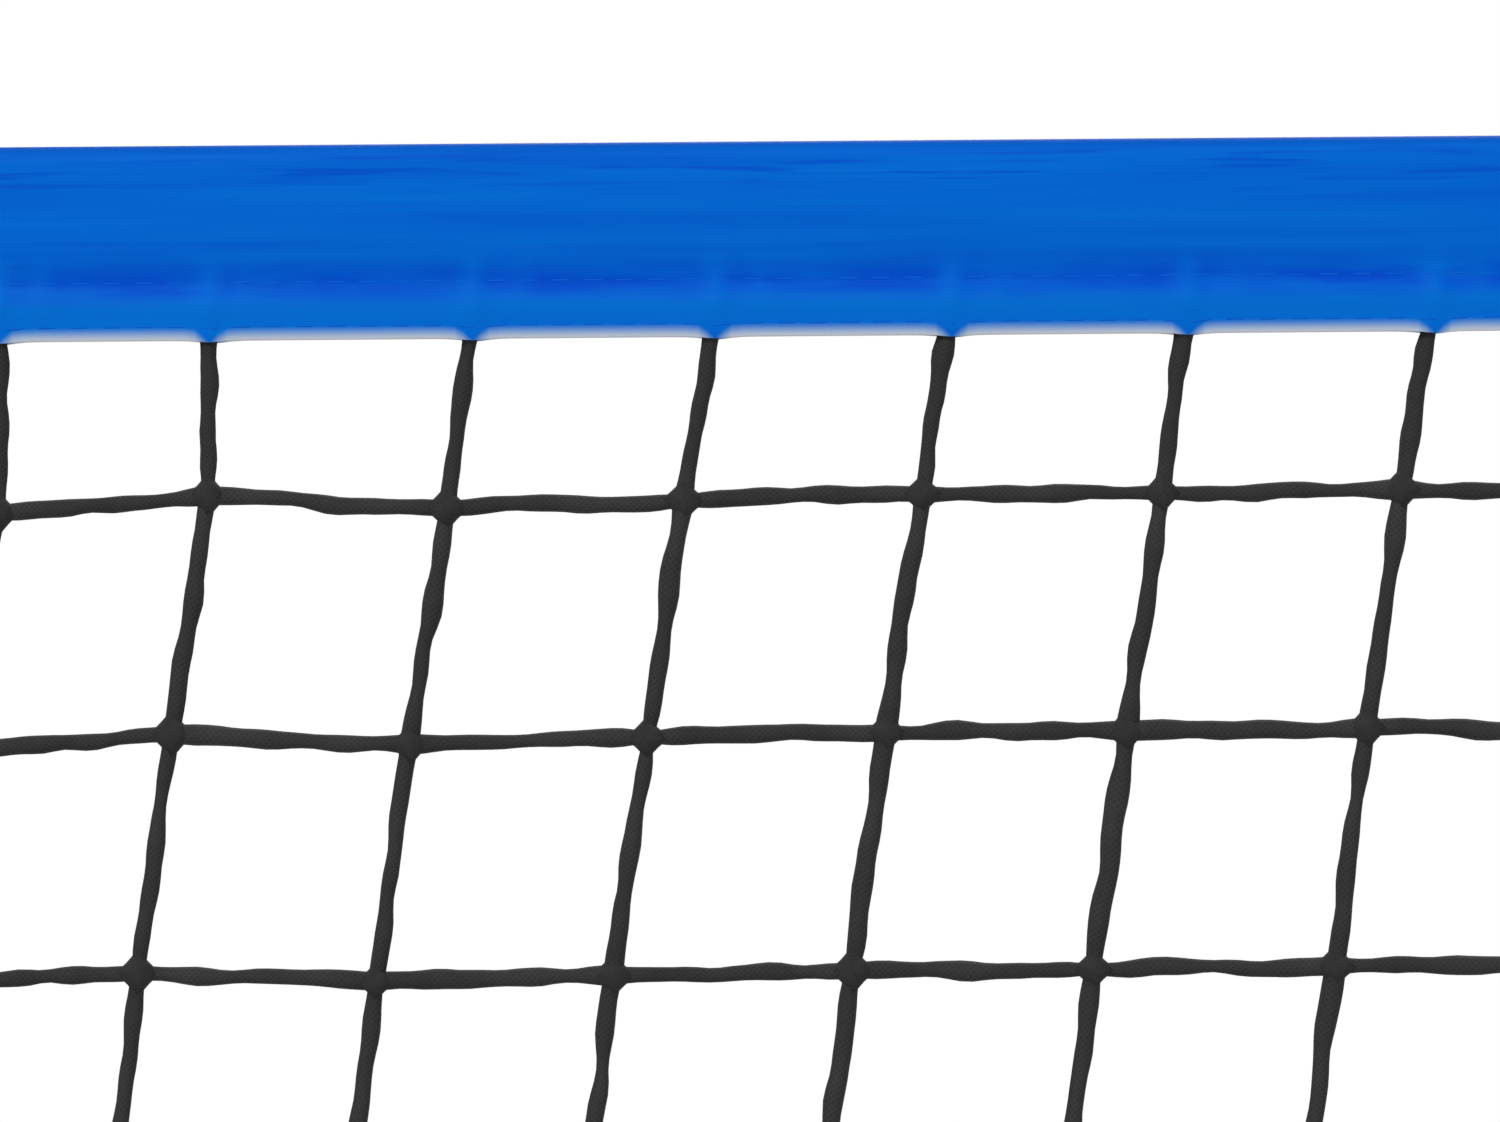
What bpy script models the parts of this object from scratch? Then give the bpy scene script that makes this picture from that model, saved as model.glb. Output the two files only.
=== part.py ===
# Recreational tennis net: black knotted netting bound in blue folded tapes and hung on a coated headline.
# Units are metres. +X runs along the net, +Z is up and -Y is the front.
# The origin lies on the headline's axis, half way along the net.

from math import acos, atan2, cos, hypot, pi, radians, sin, sqrt

import bmesh
import bpy
from mathutils import Vector

# Netting
MESH = 0.045  # knot to knot
COLUMNS = 64  # meshes along the net
ROWS = 16  # rows of knots below the top selvedge
DRAWN_EVERY = 2  # the solid holds every second twine of the real netting
TWINE = 0.003
TOP_GAP = 0.0364  # top selvedge to the first row of knots
LEAN = 0.0346  # drift of the slack twine towards -X at mid height
LEAN_REACH = 0.9  # length each way from the net's middle over which the drift dies out

# Folded tapes
TAPE_WALL = 0.0008
CLEARANCE = 0.0003  # between pieces that lie against each other
BAND_DEPTH = 0.036
BOTTOM_DEPTH = 0.036
SIDE_WIDTH = 0.060
EDGE_TO_SELVEDGE = 0.0048  # sewn edge to the twine that it holds
EDGE_TO_SEAM = 0.0088  # sewn edge to the seam behind that twine
TUNNEL_TO_SEAM = 0.005  # outside of the fold's tunnel to its seam

# Headline with its eyes
CABLE_DIAMETER = 0.005
EYE_LENGTH = 0.042  # along the cable's centre, from ferrule to crown
EYE_WIDTH = 0.0246  # across the cable's centre
EYE_TAPER = 1.5  # how sharply the eye narrows to its throat
THIMBLE_WALL = 0.0015
FERRULE_LENGTH = 0.026
FERRULE_WALL = 0.0016
BAND_TO_FERRULE = 0.020
CABLE_TAIL = 0.003  # cut end that shows behind the ferrule

# Side dowels and the bottom cord
DOWEL_DIAMETER = 0.008
CAP_WALL = 0.0008
CAP_LENGTH = 0.018
CAP_END = 0.002
DOWEL_INSET = 0.005  # from the pocket's ends to the caps
CORD_DIAMETER = 0.006
CORD_INSET = 0.002  # from the bottom tape's ends to the cord

# Grommets
GROMMET_BORE = 0.0104
EYELET_WALL = 0.0008
FLANGE_WIDTH = 0.004
FLANGE_THICKNESS = 0.001
LIP_WIDTH = 0.0015
WASHER_THICKNESS = 0.0008
GROMMET_FROM_END = 0.045  # outer grommets to the side tape's ends

# Facets of the round pieces
TUNNEL_STEPS = 12
TURNED_STEPS = 20
ROD_SIDES = 16
HOLE_SIDES = 24
EYE_STEPS = 25  # odd, so that a flat facet lies at the crown
CABLE_SIDES = 8  # even
SMOOTH_ANGLE = radians(40)
MERGE = 1e-6

# Sizes that follow from those above
CABLE_RADIUS = CABLE_DIAMETER / 2
BAND_BORE = CABLE_RADIUS + CLEARANCE
CAP_RADIUS = DOWEL_DIAMETER / 2 + CLEARANCE + CAP_WALL
SIDE_BORE = CAP_RADIUS + CLEARANCE
BOTTOM_BORE = CORD_DIAMETER / 2 + CLEARANCE
HALF_NETTING = COLUMNS * MESH / 2
HALF_WIDTH = HALF_NETTING + SIDE_WIDTH - EDGE_TO_SELVEDGE
BAND_EDGE_Z = BAND_BORE + TAPE_WALL - BAND_DEPTH
TOP_SELVEDGE_Z = BAND_EDGE_Z + EDGE_TO_SELVEDGE
NETTING_DROP = TOP_GAP + (ROWS - 1) * MESH
BOTTOM_SELVEDGE_Z = TOP_SELVEDGE_Z - NETTING_DROP
BOTTOM_TUNNEL_Z = BOTTOM_SELVEDGE_Z + EDGE_TO_SELVEDGE - BOTTOM_DEPTH + BOTTOM_BORE + TAPE_WALL
NET_BOTTOM_Z = BOTTOM_TUNNEL_Z - BOTTOM_BORE - TAPE_WALL
SIDE_TOP_Z = BAND_EDGE_Z - CLEARANCE
SIDE_TUNNEL_X = HALF_WIDTH - SIDE_BORE - TAPE_WALL
LEAF_FACE = CLEARANCE / 2 + TAPE_WALL  # outside of a tape where its two leaves are sewn together


def clear_scene():
    for old in list(bpy.data.objects):
        bpy.data.objects.remove(old, do_unlink=True)


def finish(name, colour, roughness, metallic=0.0):
    """A Principled material with one linear colour."""
    material = bpy.data.materials.new(name)
    material.use_nodes = True
    shader = material.node_tree.nodes["Principled BSDF"]
    shader.inputs["Base Color"].default_value = (*colour, 1.0)
    shader.inputs["Roughness"].default_value = roughness
    shader.inputs["Metallic"].default_value = metallic
    return material


def add_empty(name, place):
    empty = bpy.data.objects.new(name, None)
    empty.location = place
    bpy.context.collection.objects.link(empty)
    return empty


def add_piece(name, bm, material, parent, smooth=True):
    """Turns a bmesh into a named object under its body's empty."""
    mesh = bpy.data.meshes.new(name)
    bm.to_mesh(mesh)
    bm.free()
    if smooth:
        mesh.shade_smooth()
        mesh.set_sharp_from_angle(angle=SMOOTH_ANGLE)
    piece = bpy.data.objects.new(name, mesh)
    piece.data.materials.append(material)
    piece.parent = parent
    bpy.context.collection.objects.link(piece)
    return piece


def thicken(piece, thickness, offset):
    solidify = piece.modifiers.new("thickness", "SOLIDIFY")
    solidify.thickness = thickness
    solidify.offset = offset
    solidify.use_even_offset = True


def turned(name, profile, steps, place, material, parent):
    """Spins (radius, along) points about the Y axis. A profile that stays off the axis is a closed ring."""
    bm = bmesh.new()
    corners = [bm.verts.new((radius, along, 0)) for radius, along in profile]
    edges = [bm.edges.new(pair) for pair in zip(corners, corners[1:])]
    if min(radius for radius, _ in profile) > 0:
        edges.append(bm.edges.new((corners[-1], corners[0])))
    bmesh.ops.spin(bm, geom=corners + edges, angle=2 * pi, steps=steps, axis=(0, 1, 0), use_merge=True)
    bmesh.ops.remove_doubles(bm, verts=bm.verts, dist=MERGE)
    bmesh.ops.recalc_face_normals(bm, faces=bm.faces)
    piece = add_piece(name, bm, material, parent)
    piece.location = place
    return piece


# Netting
def drawn_lines(count):
    """Numbers of the twines that the solid holds, with both selvedges among them."""
    return list(range(0, count, DRAWN_EVERY)) + [count]


def knot(column, row):
    """Place of a knot in the net's plane, with the drift of the slack twine."""
    x = column * MESH - HALF_NETTING
    drop = TOP_GAP + (row - 1) * MESH if row else 0.0
    bell = max(0.0, 1 - (x / LEAN_REACH) ** 2) ** 2
    drift = -LEAN * sin(pi * drop / NETTING_DROP) * bell
    return x + drift, TOP_SELVEDGE_Z - drop


def make_netting(material, parent):
    """A flat net: one small square at each knot, and a strip of twine from each knot to the next."""
    bm = bmesh.new()
    half = TWINE / 2
    columns = drawn_lines(COLUMNS)
    rows = drawn_lines(ROWS)
    squares = []
    for row in rows:
        line = []
        for column in columns:
            x, z = knot(column, row)
            corners = [(x - half, z - half), (x + half, z - half), (x + half, z + half), (x - half, z + half)]
            square = [bm.verts.new((u, 0, v)) for u, v in corners]
            bm.faces.new(square)
            line.append(square)
        squares.append(line)
    for line in squares:
        for left, right in zip(line, line[1:]):
            bm.faces.new((left[1], right[0], right[3], left[2]))
    for upper_line, lower_line in zip(squares, squares[1:]):
        for upper, lower in zip(upper_line, lower_line):
            bm.faces.new((lower[3], lower[2], upper[1], upper[0]))
    netting = add_piece("netting", bm, material, parent, smooth=False)
    thicken(netting, TWINE, 0.0)


# Folded tapes
def folded_outline(bore, depth):
    """Inner face of a folded tape, from the front edge round the tunnel to the back edge.

    Points are (across, along), with along 0 at the tunnel's centre and negative towards the edge.
    """
    pinch = CLEARANCE / 2
    mouth = TWINE / 2 + CLEARANCE
    edge = bore + TAPE_WALL - depth
    mouth_top = edge + EDGE_TO_SELVEDGE + mouth
    far_seam = edge + EDGE_TO_SEAM
    near_seam = -(bore + TAPE_WALL + TUNNEL_TO_SEAM)
    front = [(-mouth, edge), (-mouth, mouth_top), (-pinch, far_seam), (-pinch, near_seam)]
    seam_angle = atan2(near_seam, -pinch) + 2 * pi
    start = seam_angle - acos(bore / hypot(pinch, near_seam))
    sweep = 2 * start - pi
    arc = []
    for step in range(TUNNEL_STEPS + 1):
        angle = start - sweep * step / TUNNEL_STEPS
        arc.append((bore * cos(angle), bore * sin(angle)))
    back = [(-across, along) for across, along in reversed(front)]
    return front + arc + back


def folded_tape(name, bore, depth, place, ends, material, parent, tuck=0.0):
    """A sheet folded round a tunnel. place(across, along, station) puts a point of it in the net.

    tuck lengthens the flat leaves past the second end, so that they go into the next tape's edge.
    """
    outline = folded_outline(bore, depth)
    bm = bmesh.new()
    rows = [[bm.verts.new(place(across, along, end)) for across, along in outline] for end in ends]
    for first in range(len(outline) - 1):
        bm.faces.new((rows[0][first], rows[0][first + 1], rows[1][first + 1], rows[1][first]))
    if tuck:
        flat_front = 2
        flat_back = len(outline) - 4
        for first in (flat_front, flat_back):
            inner = rows[1][first]
            outer = rows[1][first + 1]
            tips = [bm.verts.new(place(*outline[first + turn], ends[1] + tuck)) for turn in (0, 1)]
            bm.faces.new((inner, outer, tips[1], tips[0]))
    bm.normal_update()
    bm.faces.ensure_lookup_table()
    crown = bm.faces[len(outline) // 2 - 1]
    middle = Vector(place(0, 0, (ends[0] + ends[1]) / 2))
    if crown.normal.dot(crown.calc_center_median() - middle) < 0:
        bmesh.ops.reverse_faces(bm, faces=bm.faces)
    tape = add_piece(name, bm, material, parent)
    thicken(tape, TAPE_WALL, 1.0)
    return tape


def make_headband(material, parent):
    def place(across, along, station):
        return station, across, along

    folded_tape("headband", BAND_BORE, BAND_DEPTH, place, (-HALF_WIDTH, HALF_WIDTH), material, parent)


def make_bottom_tape(material, parent):
    def place(across, along, station):
        return station, across, BOTTOM_TUNNEL_Z - along

    half = HALF_WIDTH - SIDE_WIDTH - CLEARANCE
    folded_tape("bottom_tape", BOTTOM_BORE, BOTTOM_DEPTH, place, (-half, half), material, parent)
    return half


def grommet_places():
    """Name and height of each grommet in a side tape, and its distance from the net's middle."""
    flat_outer = SIDE_TUNNEL_X - SIDE_BORE - TAPE_WALL - TUNNEL_TO_SEAM
    flat_inner = HALF_WIDTH - SIDE_WIDTH + EDGE_TO_SEAM
    upper = SIDE_TOP_Z - GROMMET_FROM_END
    lower = NET_BOTTOM_Z + GROMMET_FROM_END
    heights = {"upper": upper, "middle": (upper + lower) / 2, "lower": lower}
    return (flat_outer + flat_inner) / 2, heights


def make_side_tape(name, side, material, parent):
    """A side tape with its three grommet holes. side is -1 on the left and 1 on the right."""

    def place(across, along, station):
        return side * (SIDE_TUNNEL_X + along), across, station

    ends = (NET_BOTTOM_Z, SIDE_TOP_Z)
    tuck = EDGE_TO_SELVEDGE + CLEARANCE
    tape = folded_tape(name, SIDE_BORE, SIDE_WIDTH, place, ends, material, parent, tuck)
    grommet_x, heights = grommet_places()
    bm = bmesh.new()
    hole_radius = GROMMET_BORE / 2 + EYELET_WALL + CLEARANCE
    for height in heights.values():
        made = bmesh.ops.create_cone(
            bm,
            cap_ends=True,
            segments=HOLE_SIDES,
            radius1=hole_radius,
            radius2=hole_radius,
            depth=SIDE_BORE,
        )
        bmesh.ops.rotate(bm, verts=made["verts"], matrix=quarter_turn())
        bmesh.ops.translate(bm, verts=made["verts"], vec=(side * grommet_x, 0, height))
    cutter = add_piece(name + "_hole_cutter", bm, material, parent, smooth=False)
    cutter.hide_render = True
    cutter.display_type = "WIRE"
    holes = tape.modifiers.new("grommet_holes", "BOOLEAN")
    holes.operation = "DIFFERENCE"
    holes.object = cutter


def quarter_turn():
    """Turns the Z axis onto Y."""
    return Vector((0, 0, 1)).rotation_difference(Vector((0, 1, 0))).to_matrix()


# Headline
def strand_gap():
    """Distance between the two strands of cable inside a ferrule."""
    return CABLE_DIAMETER + 2 * CLEARANCE


def ferrule_ends():
    start = HALF_WIDTH + BAND_TO_FERRULE
    return start, start + FERRULE_LENGTH


def teardrop(angle):
    """How far a teardrop stands out from its axis, from its throat at 0 through its crown at pi."""
    return sin(angle) * sin(angle / 2) ** EYE_TAPER


def eye_point(step):
    """Centre of the right eye's cable at a step from the ferrule round the crown and back, as (x, z)."""
    angle = 2 * pi * step / EYE_STEPS
    widest = 2 * acos(1 / sqrt(2 + EYE_TAPER))
    half_gap = strand_gap() / 2
    x = ferrule_ends()[1] + EYE_LENGTH * (1 - cos(angle)) / 2
    z = -half_gap + half_gap * cos(angle / 2) + EYE_WIDTH / 2 * teardrop(angle) / teardrop(widest)
    return x, z


def make_cable(material, parent):
    """One coated wire rope, from the left eye's tail through the band to the right eye's tail."""
    tail = (ferrule_ends()[0] - CABLE_TAIL, -strand_gap())
    right = [eye_point(step) for step in range(EYE_STEPS + 1)] + [tail]
    left = [(-x, z) for x, z in reversed(right)]
    route = left + right
    curve = bpy.data.curves.new("headline_cable", "CURVE")
    curve.dimensions = "3D"
    curve.bevel_depth = CABLE_RADIUS
    curve.bevel_resolution = CABLE_SIDES // 2 - 2  # two sides more for each step past a square
    curve.use_fill_caps = True
    spline = curve.splines.new("POLY")
    spline.points.add(len(route) - 1)
    for point, (x, z) in zip(spline.points, route):
        point.co = (x, 0, z, 1)
    curve.materials.append(material)
    cable = bpy.data.objects.new("headline_cable", curve)
    cable.parent = parent
    bpy.context.collection.objects.link(cable)


def inward(step):
    """Unit vector from the right eye's cable towards the inside of the eye, as (x, z)."""
    before = Vector(eye_point(step - 0.5))
    after = Vector(eye_point(step + 0.5))
    ahead = (after - before).normalized()
    return Vector((ahead.y, -ahead.x))


def make_thimble(name, side, material, parent):
    """A channel that lines the eye, open at its throat, with cheeks that reach half round the cable."""
    groove = CABLE_RADIUS + CLEARANCE
    inside = groove + THIMBLE_WALL
    section = [
        (inside, -inside),
        (inside, inside),
        (0, inside),
        (0, groove),
        (groove, groove),
        (groove, -groove),
        (0, -groove),
        (0, -inside),
    ]
    middle_z = -strand_gap() / 2
    steps = [step for step in range(1, EYE_STEPS) if abs(eye_point(step)[1] - middle_z) > inside + CLEARANCE]
    bm = bmesh.new()
    rings = []
    for step in steps:
        centre = Vector(eye_point(step))
        turn = inward(step)
        ring = []
        for depth, across in section:
            x, z = centre + turn * depth
            ring.append(bm.verts.new((side * x, across, z)))
        rings.append(ring)
    for ring, following in zip(rings, rings[1:]):
        for corner in range(len(section)):
            ahead = (corner + 1) % len(section)
            bm.faces.new((ring[corner], ring[ahead], following[ahead], following[corner]))
    bm.faces.new(rings[0])
    bm.faces.new(rings[-1])
    bmesh.ops.recalc_face_normals(bm, faces=bm.faces)
    add_piece(name, bm, material, parent)


def oval(radius, x, side):
    """Points round the two strands at a radius from their centres."""
    points = []
    half_steps = ROD_SIDES // 2
    for centre_z, first in ((0.0, 0.0), (-strand_gap(), pi)):
        for step in range(half_steps + 1):
            angle = first + pi * step / half_steps
            points.append((side * x, radius * cos(angle), centre_z + radius * sin(angle)))
    return points


def make_ferrule(name, side, material, parent):
    """An oval sleeve round both strands."""
    bm = bmesh.new()
    inner_radius = CABLE_RADIUS + CLEARANCE
    loops = []
    start, end = ferrule_ends()
    for radius, x in (
        (inner_radius, start),
        (inner_radius + FERRULE_WALL, start),
        (inner_radius + FERRULE_WALL, end),
        (inner_radius, end),
    ):
        loops.append([bm.verts.new(point) for point in oval(radius, x, side)])
    for number, loop in enumerate(loops):
        following = loops[(number + 1) % len(loops)]
        for corner in range(len(loop)):
            ahead = (corner + 1) % len(loop)
            bm.faces.new((loop[corner], loop[ahead], following[ahead], following[corner]))
    bmesh.ops.recalc_face_normals(bm, faces=bm.faces)
    add_piece(name, bm, material, parent)


# Dowels and the bottom cord
def add_rod(name, radius, length, material, parent):
    """A plain round rod along its own Z axis."""
    bm = bmesh.new()
    bmesh.ops.create_cone(
        bm, cap_ends=True, segments=ROD_SIDES, radius1=radius, radius2=radius, depth=length
    )
    return add_piece(name, bm, material, parent)


def make_dowel(name, side, rod_finish, cap_finish, parent):
    """A rod with a cap on each end, in the outer fold of a side tape."""
    pocket = SIDE_TOP_Z - NET_BOTTOM_Z
    length = pocket - 2 * (DOWEL_INSET + CAP_END + CLEARANCE)
    axis = add_empty(name + "_axis", (side * SIDE_TUNNEL_X, 0, (SIDE_TOP_Z + NET_BOTTOM_Z) / 2))
    axis.parent = parent
    add_rod(name, DOWEL_DIAMETER / 2, length, rod_finish, axis)
    bore = DOWEL_DIAMETER / 2 + CLEARANCE
    profile = [
        (0, 0),
        (CAP_RADIUS, 0),
        (CAP_RADIUS, CAP_LENGTH),
        (bore, CAP_LENGTH),
        (bore, CAP_END),
        (0, CAP_END),
    ]
    outer_end = pocket / 2 - DOWEL_INSET
    for end, up in (("top", 1), ("bottom", -1)):
        cap = turned(name + "_" + end + "_cap", profile, ROD_SIDES, (0, 0, up * outer_end), cap_finish, axis)
        cap.rotation_euler = (-up * pi / 2, 0, 0)


def make_bottom_cord(half_tape, material, parent):
    cord = add_rod("bottom_cord", CORD_DIAMETER / 2, 2 * (half_tape - CORD_INSET), material, parent)
    cord.rotation_euler = (0, pi / 2, 0)
    cord.location = (0, 0, BOTTOM_TUNNEL_Z)


# Grommets
def make_grommet(name, place, material, parent):
    """An eyelet pushed through from the front and rolled over a washer at the back."""
    bore = GROMMET_BORE / 2
    barrel = bore + EYELET_WALL
    flange = barrel + FLANGE_WIDTH
    front_seat = -(LEAF_FACE + CLEARANCE)
    washer_seat = LEAF_FACE + CLEARANCE
    lip_seat = washer_seat + WASHER_THICKNESS + CLEARANCE
    eyelet = [
        (bore, front_seat - FLANGE_THICKNESS),
        (flange, front_seat - FLANGE_THICKNESS),
        (flange, front_seat),
        (barrel, front_seat),
        (barrel, lip_seat),
        (barrel + LIP_WIDTH, lip_seat),
        (barrel + LIP_WIDTH, lip_seat + EYELET_WALL),
        (bore, lip_seat + EYELET_WALL),
    ]
    washer = [
        (barrel + CLEARANCE, washer_seat),
        (flange, washer_seat),
        (flange, washer_seat + WASHER_THICKNESS),
        (barrel + CLEARANCE, washer_seat + WASHER_THICKNESS),
    ]
    turned(name + "_eyelet", eyelet, TURNED_STEPS, place, material, parent)
    turned(name + "_washer", washer, TURNED_STEPS, place, material, parent)


def build():
    clear_scene()
    tape_blue = finish("blue_coated_tape", (0.003, 0.117, 0.604), 0.45)
    twine_black = finish("black_twine", (0.033, 0.032, 0.032), 0.8)
    cable_coat = finish("black_cable_coat", (0.02, 0.02, 0.022), 0.4)
    aluminium = finish("aluminium_ferrule", (0.72, 0.73, 0.74), 0.35, 1.0)
    zinc = finish("zinc_plated_thimble", (0.62, 0.64, 0.66), 0.3, 1.0)
    brass = finish("brass_grommet", (0.72, 0.52, 0.22), 0.3, 1.0)
    fibreglass = finish("fibreglass_dowel", (0.72, 0.72, 0.66), 0.4)
    cap_black = finish("black_vinyl_cap", (0.02, 0.02, 0.02), 0.5)
    cord_white = finish("white_weight_cord", (0.7, 0.7, 0.68), 0.8)

    headline = add_empty("headline_axis", (0, 0, 0))
    net = add_empty("net_swing_axis", (0, 0, 0))
    net.parent = headline

    make_cable(cable_coat, headline)
    make_netting(twine_black, net)
    make_headband(tape_blue, net)
    half_tape = make_bottom_tape(tape_blue, net)
    make_bottom_cord(half_tape, cord_white, net)
    grommet_x, heights = grommet_places()
    for word, side in (("left", -1), ("right", 1)):
        make_ferrule(word + "_ferrule", side, aluminium, headline)
        make_thimble(word + "_thimble", side, zinc, headline)
        make_side_tape(word + "_side_tape", side, tape_blue, net)
        make_dowel(word + "_dowel", side, fibreglass, cap_black, net)
        for level, height in heights.items():
            make_grommet(word + "_" + level, (side * grommet_x, 0, height), brass, net)


build()
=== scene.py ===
# %% [markdown]
# # A low tennis net, dressed
#
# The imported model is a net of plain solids: a flat net, folded tapes, a cable with an eye at each end,
# dowels and grommets. This lesson gives each of them the surface that the eye expects, close up and
# from afar. Everything is in metres. +X runs along the net, +Z is up, and the front looks towards -Y.

# %% Load the frame
import random
from collections import namedtuple
from contextlib import contextmanager
from math import acos, atan2, cos, exp, floor, hypot, pi, radians, sin, sqrt

import bpy
import numpy as np
from mathutils import Matrix, Vector, noise


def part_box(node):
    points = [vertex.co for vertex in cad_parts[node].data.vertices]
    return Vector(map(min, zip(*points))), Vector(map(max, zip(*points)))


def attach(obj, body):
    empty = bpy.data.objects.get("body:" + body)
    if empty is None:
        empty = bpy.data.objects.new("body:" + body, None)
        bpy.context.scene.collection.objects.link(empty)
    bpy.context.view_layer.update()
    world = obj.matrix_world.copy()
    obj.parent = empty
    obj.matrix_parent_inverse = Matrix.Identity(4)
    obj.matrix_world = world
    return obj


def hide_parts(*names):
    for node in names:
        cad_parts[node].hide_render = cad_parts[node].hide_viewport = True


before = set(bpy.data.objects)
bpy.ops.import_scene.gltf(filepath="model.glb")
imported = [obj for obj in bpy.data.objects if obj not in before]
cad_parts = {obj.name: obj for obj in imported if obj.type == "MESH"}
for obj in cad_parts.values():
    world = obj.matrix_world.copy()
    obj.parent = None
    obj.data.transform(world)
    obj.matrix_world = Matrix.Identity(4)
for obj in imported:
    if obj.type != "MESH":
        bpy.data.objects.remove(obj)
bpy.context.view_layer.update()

# %% [markdown]
# ## Sizes
#
# The solids already hold the true sizes, so most places are read from the frame's boxes. Only what a box
# can't tell is named here: the mesh, the twine, the tape's wall, how deep each tape is folded and the cable.

# %% Sizes read from the frame
MM = 0.001
MESH = 45 * MM
TWINE = 3 * MM
TAPE_WALL = 0.8 * MM
BAND_DEPTH = 36 * MM  # from the fold to the cut edge, also on the bottom tape
SIDE_DEPTH = 60 * MM
CABLE_RADIUS = 2.5 * MM
HANDS = (("left", -1), ("right", 1))  # each with the sign of its x
GROMMET_HEIGHTS = ("upper", "middle", "lower")

band_low, band_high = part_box("headband")
side_low, side_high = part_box("right_side_tape")
bottom_low, bottom_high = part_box("bottom_tape")
net_low, net_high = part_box("netting")
cord_low, cord_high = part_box("bottom_cord")
ferrule_low, ferrule_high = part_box("right_ferrule")

half_width = band_high.x
band_radius = band_high.z
side_radius = side_high.y
bottom_radius = bottom_high.y
half_netting = net_high.x - TWINE / 2
top_selvedge = net_high.z - TWINE / 2
bottom_selvedge = net_low.z + TWINE / 2
net_bottom = side_low.z
side_tunnel_x = half_width - side_radius
bottom_tunnel_z = bottom_low.z + bottom_radius
columns = round(2 * half_netting / MESH)
rows = round((top_selvedge - bottom_selvedge) / MESH)
print("netting of", columns, "by", rows, "meshes, half width", round(half_width, 4))

# %% [markdown]
# ## One way to write colours and nodes
#
# Colours are written as sRGB hex values, and one function turns them into the linear values that a shader
# adds up. Another adds a node with its settings and its links, so that a material reads like a recipe. The
# short names after them each return a link, which is a node with the name of its output.

# %% Colour and node helpers
def linear(code):
    """Linear RGBA of an sRGB hex colour."""
    parts = [int(code[place : place + 2], 16) / 255 for place in (0, 2, 4)]
    return (*(part / 12.92 if part <= 0.04045 else ((part + 0.055) / 1.055) ** 2.4 for part in parts), 1.0)


def connect(tree, node, **settings):
    """Sets properties and inputs of a node, and returns it.

    An input's name has _ for each space, and a pair is a link. values fills the inputs in their order.
    """
    for name, value in settings.items():
        socket_name = name.replace("_", " ")
        if name == "values":
            targets = zip(node.inputs, value)
        elif socket_name in node.inputs:
            targets = [(node.inputs[socket_name], value)]
        else:
            setattr(node, name, value)
            continue
        for socket, source in targets:
            if isinstance(source, tuple) and isinstance(source[0], bpy.types.Node):
                tree.links.new(source[0].outputs[source[1]], socket)
            else:
                socket.default_value = source
    return node


def add_node(tree, kind, **settings):
    return connect(tree, tree.nodes.new("ShaderNode" + kind), **settings)


def new_finish(name):
    """A material with its node tree and its Principled shader."""
    material = bpy.data.materials.new(name)
    material.use_nodes = True
    return material, material.node_tree, material.node_tree.nodes["Principled BSDF"]


# %% Short names for what recurs in materials
def calculate(tree, operation, *values):
    return add_node(tree, "Math", operation=operation, values=values), "Value"


def spread(tree, value, *limits):
    """Stretches the range between the first two limits to the range between the last two."""
    return add_node(tree, "MapRange", values=(value, *limits)), "Result"


def shades(tree, share, places, codes):
    """A ramp through sRGB colours at the given places."""
    node = add_node(tree, "ValToRGB", Fac=share)
    ramp = node.color_ramp.elements
    while len(ramp) < len(codes):
        ramp.new(1.0)
    for stop, place, code in zip(ramp, places, codes):
        stop.position = place
        stop.color = linear(code)
    return node, "Color"


def tint(tree, share, under, code):
    """Lays an sRGB colour over another colour."""
    return add_node(tree, "MixRGB", Fac=share, Color1=under, Color2=linear(code)), "Color"


def patches(tree, place, sizes, **settings):
    """Noise with patches of the given sizes along the axes of a coordinate."""
    scaled = add_node(tree, "Mapping", Vector=place, Scale=[1 / size for size in sizes])
    return add_node(tree, "TexNoise", Vector=(scaled, "Vector"), Scale=1.0, **settings), "Fac"


def wave(tree, place, pitch, direction):
    """A wave that repeats every pitch metres of a coordinate."""
    # A plain wave repeats every pi / 10 along one axis, and every pi / 5 on the diagonal
    period = pi / 5 if direction == "DIAGONAL" else pi / 10
    return add_node(tree, "TexWave", bands_direction=direction, Vector=place, Scale=period / pitch), "Fac"


def bump(tree, height, depth, strength, **settings):
    return add_node(tree, "Bump", Height=height, Distance=depth, Strength=strength, **settings), "Normal"
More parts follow.
